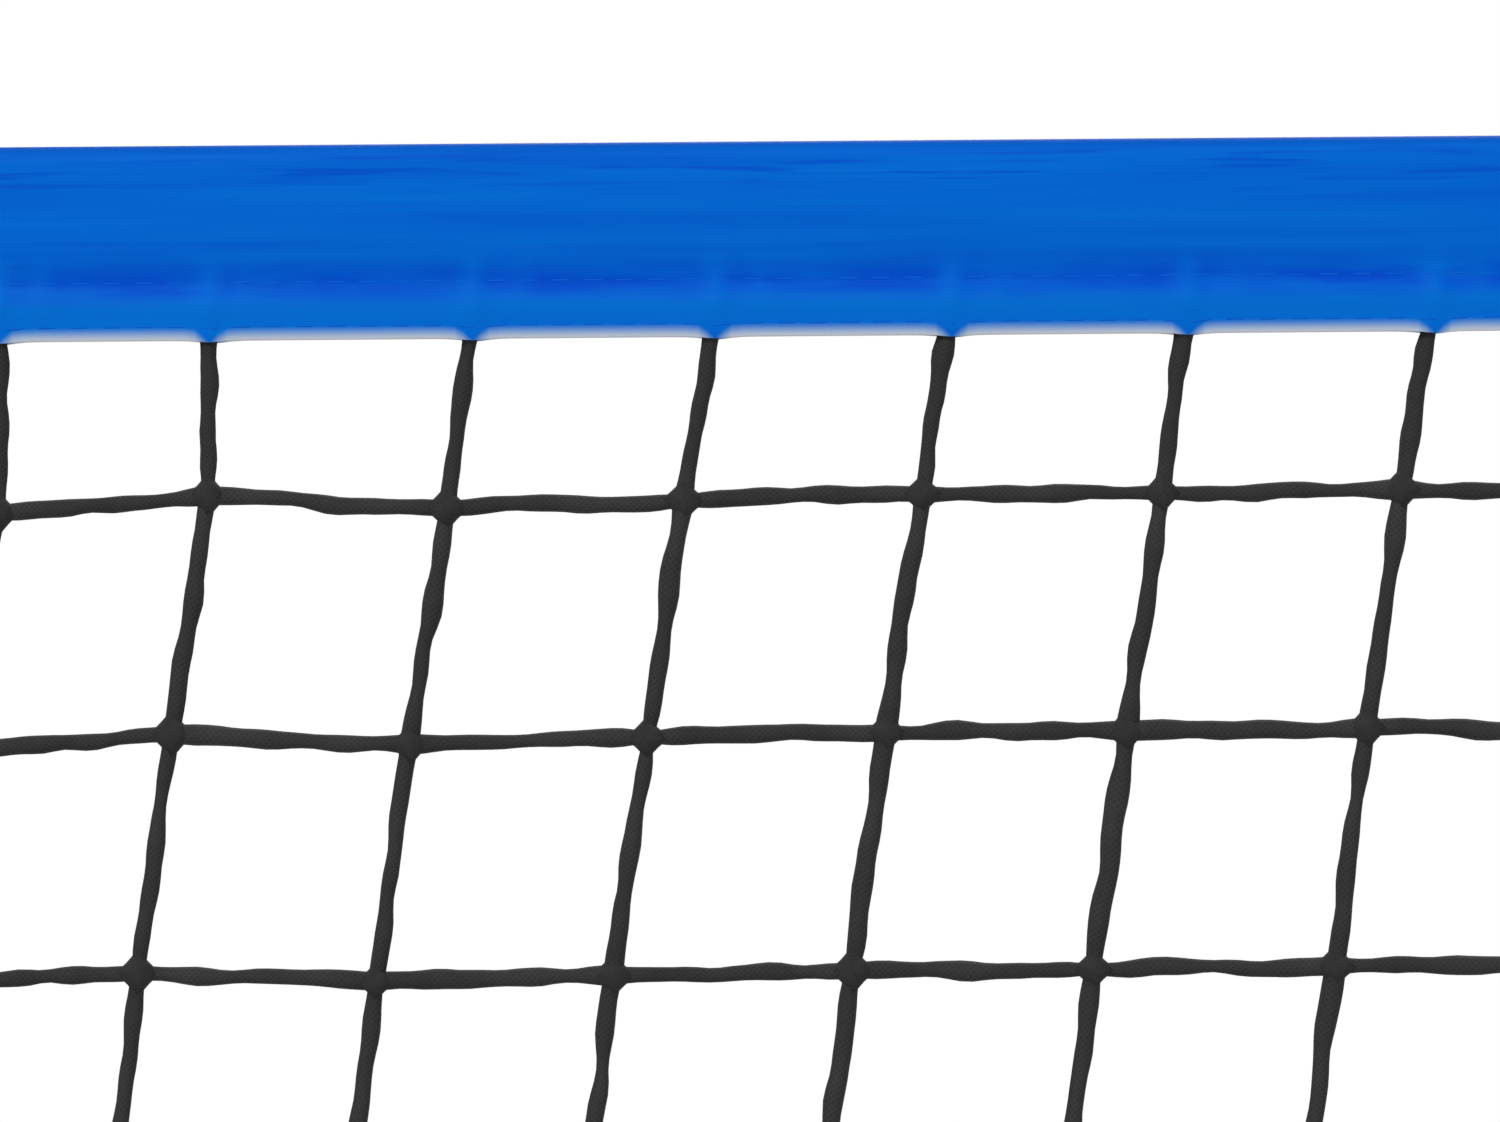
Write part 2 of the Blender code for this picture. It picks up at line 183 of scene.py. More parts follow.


# %% [markdown]
# ## Coated tape
#
# The tapes are polyester in a calendered vinyl coat. Rollers leave it smooth and almost matt, with long
# soft streaks along the tape, whose tones are partly painted light and shade of its low waves, and the
# weave shows only as a faint grain. The coat is one strong blue, with painted shade along the hem's seam,
# in short creases beside the fold and along the fold's crown, and a painted highlight on the hem. The cut
# edge shows the pale cloth core. The UV map holds metres of the flat tape, so the patterns follow the
# folds.

# %% Calendered vinyl tape
def calendered_vinyl():
    material, tree, shader = new_finish("calendered_vinyl_tape")
    cloth = (add_node(tree, "UVMap"), "UV")

    def mask(word):
        return add_node(tree, "Attribute", attribute_name=word), "Fac"

    # Roller streaks, about 110 mm long and 4 mm wide; their lighter and darker tones are partly painted
    # light and shade of the tape's low waves
    streaks = patches(tree, cloth, (110 * MM, 4 * MM, 1), Detail=3.0, Roughness=0.55)
    coat = shades(tree, streaks, (0.32, 0.5, 0.68), ("005cca", "0063ce", "0069d0"))
    # Painted highlight on the hem, lighter where its swelling over the netting's edge faces up
    coat = tint(tree, mask("hem"), coat, "006bcc")
    # Painted shade in the groove of the hem's seam, in blotches of about 25 mm
    blotches = patches(tree, cloth, (25 * MM, 4 * MM, 1), Detail=2.0)
    painted_seam_shade = calculate(tree, "MULTIPLY", mask("seam"), spread(tree, blotches, 0.3, 0.6, 0.3, 1.0))
    coat = tint(tree, painted_seam_shade, coat, "0046c3")
    # Painted shade in short creases of about 30 mm beside the fold, where the tape turns in under the tunnel
    creases = patches(tree, cloth, (30 * MM, 1.3 * MM, 1), Detail=1.0)
    painted_crease_shade = calculate(tree, "MULTIPLY", mask("fold"), spread(tree, creases, 0.54, 0.66, 0.0, 0.9))
    coat = tint(tree, painted_crease_shade, coat, "004cc4")
    # Painted shade, a thin darker line along the crown of the fold
    coat = tint(tree, mask("crown"), coat, "0051b4")
    # The cut edge, where the coat thins and the pale cloth core shows
    near = spread(tree, mask("cut_edge"), 0.0, 1.0, 0.0, 1.0)
    coat = tint(tree, near, coat, "0082c6")
    coat = tint(tree, calculate(tree, "POWER", near, 1.7), coat, "c8cdd8")
    # The weave under the coat, threads 0.9 mm apart
    weave = calculate(tree, "MULTIPLY", *[wave(tree, cloth, 0.9 * MM, axis) for axis in "XY"])
    grain = bump(tree, weave, 0.02 * MM, 0.3)
    rolled = bump(tree, streaks, 0.25 * MM, 0.4, Normal=grain)
    gloss = spread(tree, streaks, 0.3, 0.7, 0.6, 0.5)
    connect(tree, shader, Base_Color=coat, Roughness=gloss, Specular_IOR_Level=0.03, Normal=rolled)
    return material


vinyl = calendered_vinyl()
print("made", vinyl.name)

# %% [markdown]
# ## Netting twine
#
# The netting is tied from braided polyethylene twine, dyed through and almost black. Its strands cross in a
# fine herringbone, drawn with two sets of slanting waves, with painted shade in the grooves between them,
# and handling leaves some of it a little greyer.

# %% Braided twine
BRAID_STRANDS = 8  # strands that run each way round


def braided(name, codes, radius, relief):
    """A dull braid in three shades, with painted shade in its grooves, for a cord whose UV map has metres
    along and round.
    """
    material, tree, shader = new_finish(name)
    skin = (add_node(tree, "UVMap"), "UV")
    mirrored = (add_node(tree, "Mapping", Vector=skin, Scale=(-1, 1, 1)), "Vector")
    pitch = 2 * pi * radius / BRAID_STRANDS
    lays = [wave(tree, place, pitch, "DIAGONAL") for place in (skin, mirrored)]
    braid = calculate(tree, "MAXIMUM", *lays)
    handled = patches(tree, skin, 3 * [30 * MM], Detail=4.0, Roughness=0.65)
    tone = shades(tree, handled, (0.3, 0.52, 0.75), codes)
    # Painted shade in the grooves between the strands
    painted_groove_shade = spread(tree, braid, 0.4, 0.95, 0.78, 1.0)
    shade = add_node(tree, "MixRGB", blend_type="MULTIPLY", Fac=1.0, Color1=tone, Color2=painted_groove_shade)
    connect(tree, shader, Base_Color=(shade, "Color"), Normal=bump(tree, braid, relief, 0.6))
    connect(tree, shader, Roughness=0.85, Specular_IOR_Level=0.12)
    return material


black_twine = braided("braided_polyethylene_twine", ("2d2c2c", "363535", "3e3d3d"), TWINE / 2, 0.12 * MM)
print("made", black_twine.name, "with", BRAID_STRANDS, "strands each way")

# %% [markdown]
# ## Where the knots are
#
# A net tied by machine is regular, but uneven tension makes it hang unevenly: some upright twines hang low,
# and the slack middle leans to one side, less towards the edges. A leaning mesh is also less tall, so the
# rows rise there. The few upright twines in front of the camera have their own slack, and the others get a
# seeded random one.

# %% Knot places
LEAN = 37 * MM
LEAN_REACH = 0.9
RISE = 2.7 * MM
FADE = 0.85  # share of a twine's slack that is left one row further down
ROWS_SEEN = 4  # rows in front of the camera, whose knots don't stray
MOST_SLACK = 1.2  # in mm
MOST_STRAY = (0.6, 0.5)  # sideways and up, in mm
drop_in_all = top_selvedge - bottom_selvedge
top_gap = drop_in_all - (rows - 1) * MESH

dice = random.Random(7)
# How low a twine hangs, its shift at the hem and its shift below, in mm
slack = {
    column: [dice.uniform(-MOST_SLACK, MOST_SLACK) for _ in range(3)]
    for column in range(columns + 1)
}
middle = columns // 2
# The same for the twines in front of the camera, counted from the middle one
seen = {-3: (1.4, 1.9, 6.9), -2: (-1.6, -3.4, 1.6), -1: (1.1, 0.8, 1.4), 0: (0.0, 1.1, 0.9)}
seen |= {1: (-0.8, 0.4, 0.6), 2: (-0.7, -0.4, 0.4), 3: (-1.0, 0.8, 0.2)}
slack |= {middle + offset: values for offset, values in seen.items()}
# How far a knot strays sideways and up, in mm
stray = {
    (column, row): tuple(dice.uniform(-most, most) for most in MOST_STRAY)
    for column in range(columns + 1)
    for row in range(rows + 1)
}
stray |= {(middle + offset, row): (0.0, 0.0) for offset in seen for row in range(ROWS_SEEN)}


def knot(column, row):
    """Place of a knot as (x, z)."""
    x = column * MESH - half_netting
    drop = top_gap + (row - 1) * MESH if row else 0.0
    slackness = sin(pi * drop / drop_in_all) * max(0.0, 1 - (x / LEAN_REACH) ** 2) ** 2
    z = top_selvedge - drop + RISE * slackness
    low, hem_shift, shift = slack[column]
    stray_x, stray_z = stray[column, row]
    lean = LEAN * slackness
    if 0 < column < columns:
        left = FADE ** max(0, row - 1)
        x += (hem_shift if row == 0 else shift * left + stray_x) * MM
        if 0 < row < rows:
            z += (stray_z - low * left) * MM
    return x - lean, z


print("middle knot of the first row:", [round(part, 4) for part in knot(middle, 1)])

# %% [markdown]
# ## Twines
#
# Each twine is one long cord from selvedge to selvedge: a curve with a round bevel, whose points wander a
# little between the knots and whose radius swells and thins. It is turned into a mesh, and its UV map is
# stretched to metres for the braid. Eight sides and twenty rings to a mesh are enough, because there are a
# thousand meshes. The twines of each way are made in two lots, to keep each piece light.

# %% Cords
DOUBLED = 1e-6  # points that are closer than this are one point


def pick(piece):
    """Makes one object the only one that is selected."""
    bpy.ops.object.select_all(action="DESELECT")
    piece.select_set(True)
    bpy.context.view_layer.objects.active = piece


@contextmanager
def edit_mode(everything=False):
    """Edit mode for the active mesh, with all of it selected where that is asked for."""
    bpy.ops.object.mode_set(mode="EDIT")
    if everything:
        bpy.ops.mesh.select_all(action="SELECT")
    yield
    bpy.ops.object.mode_set(mode="OBJECT")


def clean(piece):
    """Merges doubled points and turns the faces outwards."""
    pick(piece)
    with edit_mode(everything=True):
        bpy.ops.mesh.remove_doubles(threshold=DOUBLED)
        bpy.ops.mesh.normals_make_consistent(inside=False)


def add_object(name, data, location=(0, 0, 0), rotation=(0, 0, 0)):
    """Adds a new object to the scene."""
    holder = bpy.data.objects.new(name, data)
    holder.location = location
    holder.rotation_euler = rotation
    bpy.context.collection.objects.link(holder)
    return holder


def stretch_uv(mesh, along, across):
    """Stretches a UV map of 0 to 1 to metres."""
    layer = mesh.uv_layers[0].data
    places = np.zeros(2 * len(layer), np.float32)
    layer.foreach_get("uv", places)
    places[0::2] *= along
    places[1::2] *= across
    layer.foreach_set("uv", places)


def route_length(route):
    points = np.array([point for point, _ in route])
    return float(np.linalg.norm(np.diff(points, axis=0), axis=1).sum())


def cords(name, routes, radius, sides):
    """Round cords along lists of (point, share of the radius), as one mesh with a UV map in metres."""
    curve = bpy.data.curves.new(name, "CURVE")
    curve.dimensions = "3D"
    curve.bevel_depth = radius
    curve.bevel_resolution = sides // 2 - 2
    curve.use_fill_caps = True
    for route in routes:
        spline = curve.splines.new("POLY")
        spline.points.add(len(route) - 1)
        for target, (point, share) in zip(spline.points, route):
            target.co = (*point, 1)
            target.radius = share
    pick(add_object(name, curve))
    bpy.ops.object.convert(target="MESH")
    piece = bpy.context.view_layer.objects.active
    clean(piece)
    bpy.ops.object.shade_smooth()
    stretch_uv(piece.data, route_length(routes[0]), 2 * pi * radius)
    return piece


def dress(piece, finish, body, slot, *nodes):
    """Gives a piece its finish, the body that it rides on, and the nodes that it stands for. The slot is not
    used.
    """
    piece.data.materials.clear()
    piece.data.materials.append(finish)
    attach(piece, body)
    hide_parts(*nodes)
    print(piece.name, "rides on", body, "with", len(piece.data.polygons), "faces")


# %% Twines through the knots
RINGS = 20  # rings of a twine from one knot to the next
# Random waves along a twine as (size, waves in a mesh, the wave's own number)
SIDEWAYS = ((0.75 * MM, 2.9, 0.3), (0.35 * MM, 6.7, 1.9))
FORWARDS = ((0.9 * MM, 1.3, 7.1),)
THICKNESS = ((0.17, 1.1, 3.7), (0.4, 5.9, 9.2))


def wander(waves, run, seed):
    return sum(size * noise.noise((rate * run, seed, number)) for size, rate, number in waves)


def twine(knots, seed, share):
    """Route of one twine through its knots, wandering between them, with an uneven radius."""
    route = []
    for number, (start, end) in enumerate(zip(knots, knots[1:])):
        start, end = Vector(start), Vector(end)
        sideways = Vector((end.y - start.y, start.x - end.x)).normalized()
        steps = RINGS + (number == len(knots) - 2)
        for step in range(steps):
            part = step / RINGS
            run = number + part
            bend = wander(SIDEWAYS, run, seed) * sin(pi * part) ** 0.5
            x, z = start.lerp(end, part) + sideways * bend
            depth = wander(FORWARDS, run, seed) * sin(pi * part)
            route.append(((x, depth, z), share * (1 + wander(THICKNESS, run, seed))))
    return route


# %% Upright and level twines
LEVEL_SHARE = 1.07  # thickness of a level twine against the plain one
UPRIGHT_SHARE = 1.06  # the same for an upright one, on average
UPRIGHT_SWING = 0.07
SWING_COLUMNS = 13  # twines from one thick one to the next
SWING_START = 1.1


def upright_share(column):
    """Thickness of an upright twine against the plain one: it swells and thins along the net."""
    swing = sin(2 * pi * (column - middle + SWING_START) / SWING_COLUMNS)
    return UPRIGHT_SHARE + UPRIGHT_SWING * swing


uprights = [
    twine([knot(column, row) for row in range(rows + 1)], 10.3 * column + 1, upright_share(column))
    for column in range(columns + 1)
]
levels = [
    twine([knot(column, row) for column in range(columns + 1)], 7.7 * row + 500, LEVEL_SHARE)
    for row in range(rows + 1)
]
for way, lines in (("upright", uprights), ("level", levels)):
    half = len(lines) // 2
    for lot, routes in (("first", lines[:half]), ("second", lines[half:])):
        piece = cords(f"netting_{way}_twines_{lot}", routes, TWINE / 2, sides=8)
        dress(piece, black_twine, "net", "black_twine", "netting")

# %% [markdown]
# ## Knots
#
# Where two twines cross, one takes a turn round the other and is drawn tight. From a step away that is a
# small rounded diamond with a slanting wrap. It is modelled once, from a ball whose slanting sides are
# pushed in and a ring laid round it. There are nearly a thousand knots, so one has only about a hundred
# faces. The copies are turned by quarters, as the tying rows do.

# %% One knot
KNOT_REACH = 4.3 * MM  # from the crossing to a corner of the diamond
KNOT_DEPTH = 2.7 * MM
KNOT_WAIST = 0.68  # share of the reach that is left half way between two corners
WRAP_RADIUS = 1.75 * MM
WRAP_THICKNESS = 1.1 * MM


def new_mesh(name, kind, location=(0, 0, 0), **settings):
    """One of Blender's plain meshes, with its place and its turn applied."""
    bpy.ops.object.select_all(action="DESELECT")
    getattr(bpy.ops.mesh, f"primitive_{kind}_add")(location=location, **settings)
    bpy.ops.object.transform_apply(location=True, rotation=True, scale=True)
    piece = bpy.context.view_layer.objects.active
    piece.name = piece.data.name = name
    return piece


def select_parts(piece, kind, chosen):
    """Selects the vertices or polygons of a mesh that pass a test, and nothing else."""
    for group in (piece.data.vertices, piece.data.edges, piece.data.polygons):
        group.foreach_set("select", np.zeros(len(group), bool))
    for part in getattr(piece.data, kind):
        part.select = chosen(part)


def between_corners(vertex):
    x, z = abs(vertex.co.x), abs(vertex.co.z)
    return abs(x - z) < 0.1 < x


def make_knot():
    lump = new_mesh("knot", "uv_sphere", segments=8, ring_count=6, radius=1, rotation=(pi / 2, 0, 0))
    select_parts(lump, "vertices", between_corners)
    with edit_mode():
        bpy.ops.transform.resize(value=(KNOT_WAIST, 1, KNOT_WAIST), center_override=(0, 0, 0))
    lump.data.transform(Matrix.Diagonal((KNOT_REACH, KNOT_DEPTH, KNOT_REACH, 1)))
    slant = (radians(62), radians(35), 0)
    sizes = {"major_radius": WRAP_RADIUS, "minor_radius": WRAP_THICKNESS}
    new_mesh("wrap", "torus", major_segments=12, minor_segments=5, rotation=slant, **sizes)
    lump.select_set(True)
    bpy.context.view_layer.objects.active = lump
    bpy.ops.object.join()
    bpy.ops.object.shade_smooth()
    stretch_uv(lump.data, 2 * pi * KNOT_REACH, pi * KNOT_REACH)
    return lump


first_knot = make_knot()
print("one knot has", len(first_knot.data.polygons), "faces")

# %% A knot at each crossing
KNOT_SIZE = 0.97  # size of a knot against the first one
KNOT_SPREAD = 0.2  # how much a knot's width and height vary


def copy_mesh(model, name, move):
    """A copy of a mesh, moved by a matrix."""
    copy = model.copy()
    copy.data = model.data.copy()
    copy.name = copy.data.name = name
    copy.data.transform(move)
    bpy.context.collection.objects.link(copy)
    return copy


def tie_knots(model):
    bpy.ops.object.select_all(action="DESELECT")
    for column in range(1, columns):
        for row in range(1, rows):
            x, z = knot(column, row)
            wide = KNOT_SIZE + KNOT_SPREAD * noise.noise((0.9 * column, 1.3 * row, 4.2))
            tall = KNOT_SIZE + KNOT_SPREAD * noise.noise((1.7 * column, 0.7 * row, 8.6))
            quarters = (column + row) % 2 + 2 * ((column + row // 3) % 2)
            shaped = Matrix.Diagonal((wide, 1, tall, 1)) @ Matrix.Rotation(quarters * pi / 2, 4, "Y")
            copy_mesh(model, "knot", Matrix.Translation((x, 0, z)) @ shaped).select_set(True)
    bpy.data.objects.remove(model)
    knots = bpy.context.view_layer.objects.active = bpy.context.selected_objects[0]
    bpy.ops.object.join()
    knots.name = "netting_knots"
    return knots


dress(tie_knots(first_knot), black_twine, "net", "black_twine", "netting")

# %% [markdown]
# ## How a tape is folded
#
# Each tape is one flat strip, folded along its middle round a cable, cord or dowel and sewn to the netting
# at its edges. The section is the outside of one leaf: the hem that swells over the selvedge twine, the
# seam that pulls the leaves together, the plain stretch and the tunnel. A cloth simulation would round
# these seams off, so the strip is folded directly.

# %% Section of a folded tape
SEAT = 1.22 * MM  # half the thickness of a side tape where a grommet grips it
# Height of the hem's skin over the net's plane, at a distance up from the cut edge, in mm
HEM = [(0, 2.2), (0.7, 2.5), (1.6, 2.42), (4.5, 2.8), (6.0, 2.95), (7.7, 2.5), (9.2, 1.65), (10.7, 1.1)]
HEM_SEAM = 10.7 * MM
HEM_CREST = 6 * MM
EDGE_SEAM = 2.4 * MM
DROOP = 0.5 * MM  # how far a worn hem hangs past the solid's edge
LEAF_RISE = 2.4  # the larger it is, the sooner a leaf rises from the hem's seam
SEAM_DIP = 0.1 * MM  # how far the seam under a tunnel draws the leaf in
TO_TUNNEL = (0.35, 0.7)  # places on the way from that seam to the tunnel
FLAT_STEPS = 7
ARC_STEPS = 7


def leaf_section(radius, depth, seam_gap=0.0, belly=0.0):
    """Outside of one leaf as (along, height), from its cut edge to the top of the tunnel.

    along is 0 at the tunnel's centre and negative towards the edge. A leaf that is sewn under its tunnel
    lies belly high at that seam, which is seam_gap from the tunnel. Any other swells up to the tunnel.
    """
    points = [(radius - depth - DROOP + up * MM, height * MM) for up, height in HEM]
    first_along, first_height = points[-1]
    seam, top = (-(radius + seam_gap), belly) if belly else (0.0, radius)
    for step in range(1, FLAT_STEPS + 1):
        part = step / (FLAT_STEPS + 1)
        rise = 1 - (1 - part) ** LEAF_RISE
        along = first_along + part * (seam - first_along)
        points.append((along, first_height + rise * (top - first_height)))
    touch = pi / 2
    if belly:
        points.append((seam, belly - SEAM_DIP))
        touch = atan2(belly, seam) - acos(radius / hypot(belly, seam))
        for share in TO_TUNNEL:
            along = seam + share * (radius * cos(touch) - seam)
            points.append((along, belly + share * (radius * sin(touch) - belly)))
    for step in range(ARC_STEPS + 1):
        angle = touch * (1 - step / ARC_STEPS)
        points.append((radius * cos(angle), radius * sin(angle)))
    return np.array(points)


band_leaf = leaf_section(band_radius, BAND_DEPTH)
bottom_leaf = leaf_section(bottom_radius, BAND_DEPTH, seam_gap=3 * MM, belly=2.2 * MM)
side_leaf = leaf_section(side_radius, SIDE_DEPTH, seam_gap=5 * MM, belly=SEAT)
print("headband leaf:", len(band_leaf), "points")

# %% [markdown]
# The sewn tape isn't flat. The twines' ends make small swellings in the hem, the seam puckers between its
# stitches, and the slack between seams rolls in long low waves. All of that is one function of the place on
# the tape, so that the skin and the stitches that lie on it agree.

# %% Relief of a sewn tape
# A tape's leaf section, the function from (across, along, station) to a point, the stations of the twines
# that end in its hem, and the function from (station, along, height) to the height where it is pressed
Tape = namedtuple("Tape", "leaf place twines press")
# Each form has its height, and its reach or its length on the tape
SWELLING = 0.75 * MM
SWELLING_UP = 1.2 * HEM_CREST  # from the cut edge to where a swelling is highest
SWELLING_REACH = 4.5 * MM
TWINE_REACH = 2.4 * MM
LOOSE_END = 0.6  # height over a twine's loose end, as a share of that over the twine
LOOSE_WAY = 7.5 * MM  # from the twine to its loose end
LOOSE_REACH = 2 * MM
PUCKER = 0.3 * MM
PUCKER_LENGTH = 9 * MM
PUCKER_REACH = 2.6 * MM
ROLL = 0.5 * MM
ROLL_LENGTH = 75 * MM
ROLL_WIDTH = 9 * MM
EDGE_FADE = 10 * MM  # the roll dies out over this length towards the cut edge
TUNNEL_FADE = 8 * MM  # and over this one towards the tunnel
SINK = 0.5 * MM  # how far a twine draws the hem down
SINK_REACH = 3.2 * MM


def bell(distance, reach):
    """1 at no distance, and fading to nothing past twice the reach."""
    return exp(-((distance / reach) ** 2))


def clamp(value):
    return min(1.0, max(0.0, value))


def to_twine(tape, station):
    """Way from a station to the nearest twine in the hem."""
    ways = tape.twines - station
    return ways[np.argmin(np.abs(ways))]


def over_twine(tape, station):
    """1 over a twine's end, less over the loose end beside it, and 0 away from both."""
    way = to_twine(tape, station)
    return bell(way, TWINE_REACH) + LOOSE_END * bell(way + LOOSE_WAY, LOOSE_REACH)


def relief(tape, station, along, face):
    """How far the skin stands out past its plain section, on one face of a tape."""
    up = along - tape.leaf[0][0]
    swelling = SWELLING * over_twine(tape, station) * bell(up - SWELLING_UP, SWELLING_REACH)
    gathers = noise.noise((station / PUCKER_LENGTH, 3.1 * face, 0.5))
    pucker = PUCKER * gathers * bell(up - HEM_SEAM, PUCKER_REACH)
    roll = ROLL * noise.noise((station / ROLL_LENGTH, up / ROLL_WIDTH, 5.7 * face))
    return swelling + pucker + roll * clamp(up / EDGE_FADE) * clamp(-along / TUNNEL_FADE)


def skin_place(tape, station, along, height, face):
    """Where the skin of one leaf lies, as (height over the middle plane, along)."""
    stand = tape.press(station, along, height + relief(tape, station, along, face))
    seam_share = (along - tape.leaf[0][0]) / HEM_SEAM
    return stand, along - SINK * bell(to_twine(tape, station), SINK_REACH) * max(0.0, 1 - seam_share)


# %% Fold a strip
# How far the coat's colours reach, each from its own line on the tape: painted shade by the seam, in the
# creases and along the crown, a painted highlight on the hem, and the pale cut edge that a twine's end hides
SEAM_REACH = 3.2 * MM
HEM_REACH_DOWN = 4.2 * MM
HEM_REACH_UP = 2.5 * MM
CREASE_REACH = 3 * MM
CROWN_REACH = 1.5 * MM
COVER_REACH = 1.6 * MM
CREASE_LINE = -1.5 * MM  # from the tunnel's centre
COVERED = 0.9  # how much of the pale cut edge a twine's end hides
STRETCHED = 0.8  # how much of the seam's shade a swelling takes away


def colour_masks(tape, station, along):
    """How much each part of the coat's colouring shows at a place."""
    up = along - tape.leaf[0][0]
    shaded = max(0.0, 1 - STRETCHED * over_twine(tape, station))
    # seam, fold and crown hold painted shade, hem holds a painted highlight, and cut_edge the pale core
    return {
        "seam": shaded * bell(up - HEM_SEAM, SEAM_REACH),
        "hem": bell(up - HEM_CREST, HEM_REACH_DOWN if up < HEM_CREST else HEM_REACH_UP),
        "fold": bell(along - CREASE_LINE, CREASE_REACH),
        "crown": bell(along - tape.leaf[-1][0], CROWN_REACH),
        "cut_edge": 1 - up / EDGE_SEAM - COVERED * bell(to_twine(tape, station), COVER_REACH),
    }


def modify(piece, kind, **settings):
    """Adds a modifier to a piece and applies it."""
    pick(piece)
    modifier = piece.modifiers.new(kind.lower(), kind)
    for name, value in settings.items():
        setattr(modifier, name, value)
    bpy.ops.object.modifier_apply(modifier=modifier.name)


def give_wall(strip, crown_row):
    """Turns the faces outwards, gives the sheet its thickness inwards and shades it smooth."""
    mesh = strip.data
    mesh.update()
    per_row = len(mesh.polygons) // (2 * crown_row)
    crown = mesh.polygons[crown_row * per_row + per_row // 2]
    middle_of_strip = sum((vertex.co for vertex in mesh.vertices), Vector()) / len(mesh.vertices)
    if crown.normal.dot(crown.center - middle_of_strip) < 0:
        mesh.flip_normals()
    modify(strip, "SOLIDIFY", thickness=TAPE_WALL, offset=-1.0)
    bpy.ops.object.shade_smooth_by_angle(angle=radians(50))


def fold_strip(name, tape, stations):
    """Folds a flat grid into a tape, gives it a wall and returns it with the flat width of the strip."""
    around = [(along, height, -1) for along, height in tape.leaf]
    around += [(along, height, 1) for along, height in reversed(tape.leaf[:-1])]
    steps = np.hypot(*np.diff([(along, height * face) for along, height, face in around], axis=0).T)
    flat = np.concatenate([[0.0], np.cumsum(steps)])
    squares = {"x_subdivisions": len(stations) - 1, "y_subdivisions": len(around) - 1}
    strip = new_mesh(name, "grid", size=1, **squares)
    corners, cloth, masks = [], [], []
    for (along, height, face), across in zip(around, flat):
        for station in stations:
            stand, low = skin_place(tape, station, along, height, face)
            corners.append(tape.place(face * stand if height else 0.0, low, station))
            cloth.append((station, across))
            masks.append(colour_masks(tape, station, along))
    mesh = strip.data
    mesh.vertices.foreach_set("co", np.array(corners, np.float32).ravel())
    # The masks of painted shade, the painted highlight and the cut edge become attributes for the coat
    for word in masks[0]:
        mask = mesh.attributes.new(word, "FLOAT", "POINT")
        mask.data.foreach_set("value", np.array([shares[word] for shares in masks], np.float32))
    corner_of = np.zeros(len(mesh.loops), np.int32)
    mesh.loops.foreach_get("vertex_index", corner_of)
    mesh.uv_layers[0].data.foreach_set("uv", np.array(cloth, np.float32)[corner_of].ravel())
    give_wall(strip, len(tape.leaf) - 1)
    return strip, float(flat[-1])


def sew_in(strip, node, flat):
    dress(strip, vinyl, "net", "blue_tape", node)
    print("flat strip", round(flat[0], 4), "by", round(flat[1], 3), "m")


# %% [markdown]
# ## Headband
#
# This is the piece that fills the top of the picture: one strip of blue tape folded over the headline, with
# the netting's top selvedge caught in its hem. Its rings of points lie closer together near each upright
# twine, where the hem swells, than between them.

# %% Headband
TUCKED = 2.1 * MM  # half the thickness of a side tape's end inside the hem
RIDE_LENGTH = 3 * MM  # the hem climbs onto that end over this length
RIDE_START = 0.6  # share of the climb that is done where the side tape begins
RIDE_WALL = 1.06 * TAPE_WALL  # the hem's own wall and a little air
# Shares of the way from one twine to the next
CLOSE = (0, 0.035, 0.07, 0.12, 0.19, 0.28, 0.39, 0.5, 0.61, 0.72, 0.81, 0.88, 0.93, 0.965)


def stations_along(places, start, end):
    """Stations from start to end, close together near each of the given places."""
    stops = [start] + [place for place in places if start + MM < place < end - MM] + [end]
    inner = [first + share * (last - first) for first, last in zip(stops, stops[1:]) for share in CLOSE]
    return inner + [end]


def on_headband(across, along, station):
    return station, across, along


def ride_over(station, along, stand):
    """Lifts the hem over the end of a side tape that is tucked into it."""
    over = clamp((abs(station) - side_low.x) / RIDE_LENGTH + RIDE_START)
    if along < band_low.z + HEM_CREST:
        stand = max(stand, over * (TUCKED + RIDE_WALL))
    return stand


hem_twines = np.array([knot(column, 0)[0] for column in range(columns + 1)])
band = Tape(band_leaf, on_headband, hem_twines, ride_over)
headband, band_flat = fold_strip("headband_tape", band, stations_along(hem_twines, -half_width, half_width))
sew_in(headband, "headband", (band_flat, 2 * half_width))

# %% [markdown]
# ## Bottom tape
#
# A strip of the same tape binds the bottom selvedge. It is folded upwards round the weight cord, so it is
# the headband turned over, and it runs from one side tape to the other.

# %% Bottom tape
PRESSED = 1.4 * MM  # half the thickness where the tape is pressed shut
TUCK = 2 * MM  # how far a pressed end reaches into the side tape's hem
bottom_end = bottom_high.x + TUCK


def on_bottom(across, along, station):
    return station, across, bottom_tunnel_z - along


def press_bottom(station, along, stand):
    """Closes both ends, past the weight cord."""
    gape = clamp((bottom_high.x - abs(station)) / (bottom_high.x - cord_high.x))
    return min(stand, PRESSED + (bottom_radius + MM - PRESSED) * gape)


foot_twines = np.array([knot(column, rows)[0] for column in range(1, columns)])
foot = Tape(bottom_leaf, on_bottom, foot_twines, press_bottom)
foot_stations = stations_along(foot_twines, -bottom_high.x, bottom_high.x)
foot_stations = sorted(foot_stations + [-bottom_end, -cord_high.x, cord_high.x, bottom_end])
bottom_tape, bottom_flat = fold_strip("bottom_tape_strip", foot, foot_stations)
sew_in(bottom_tape, "bottom_tape", (bottom_flat, 2 * bottom_end))

# %% [markdown]
# ## Side tapes
#
# A wider strip is folded round each dowel. Its pocket is open below, so that the dowel can be drawn out, and
# pressed shut above, where it meets the band. Round each grommet the two leaves lie flat on each other, and
# the holes are cut through both with a Boolean, as a punch would.

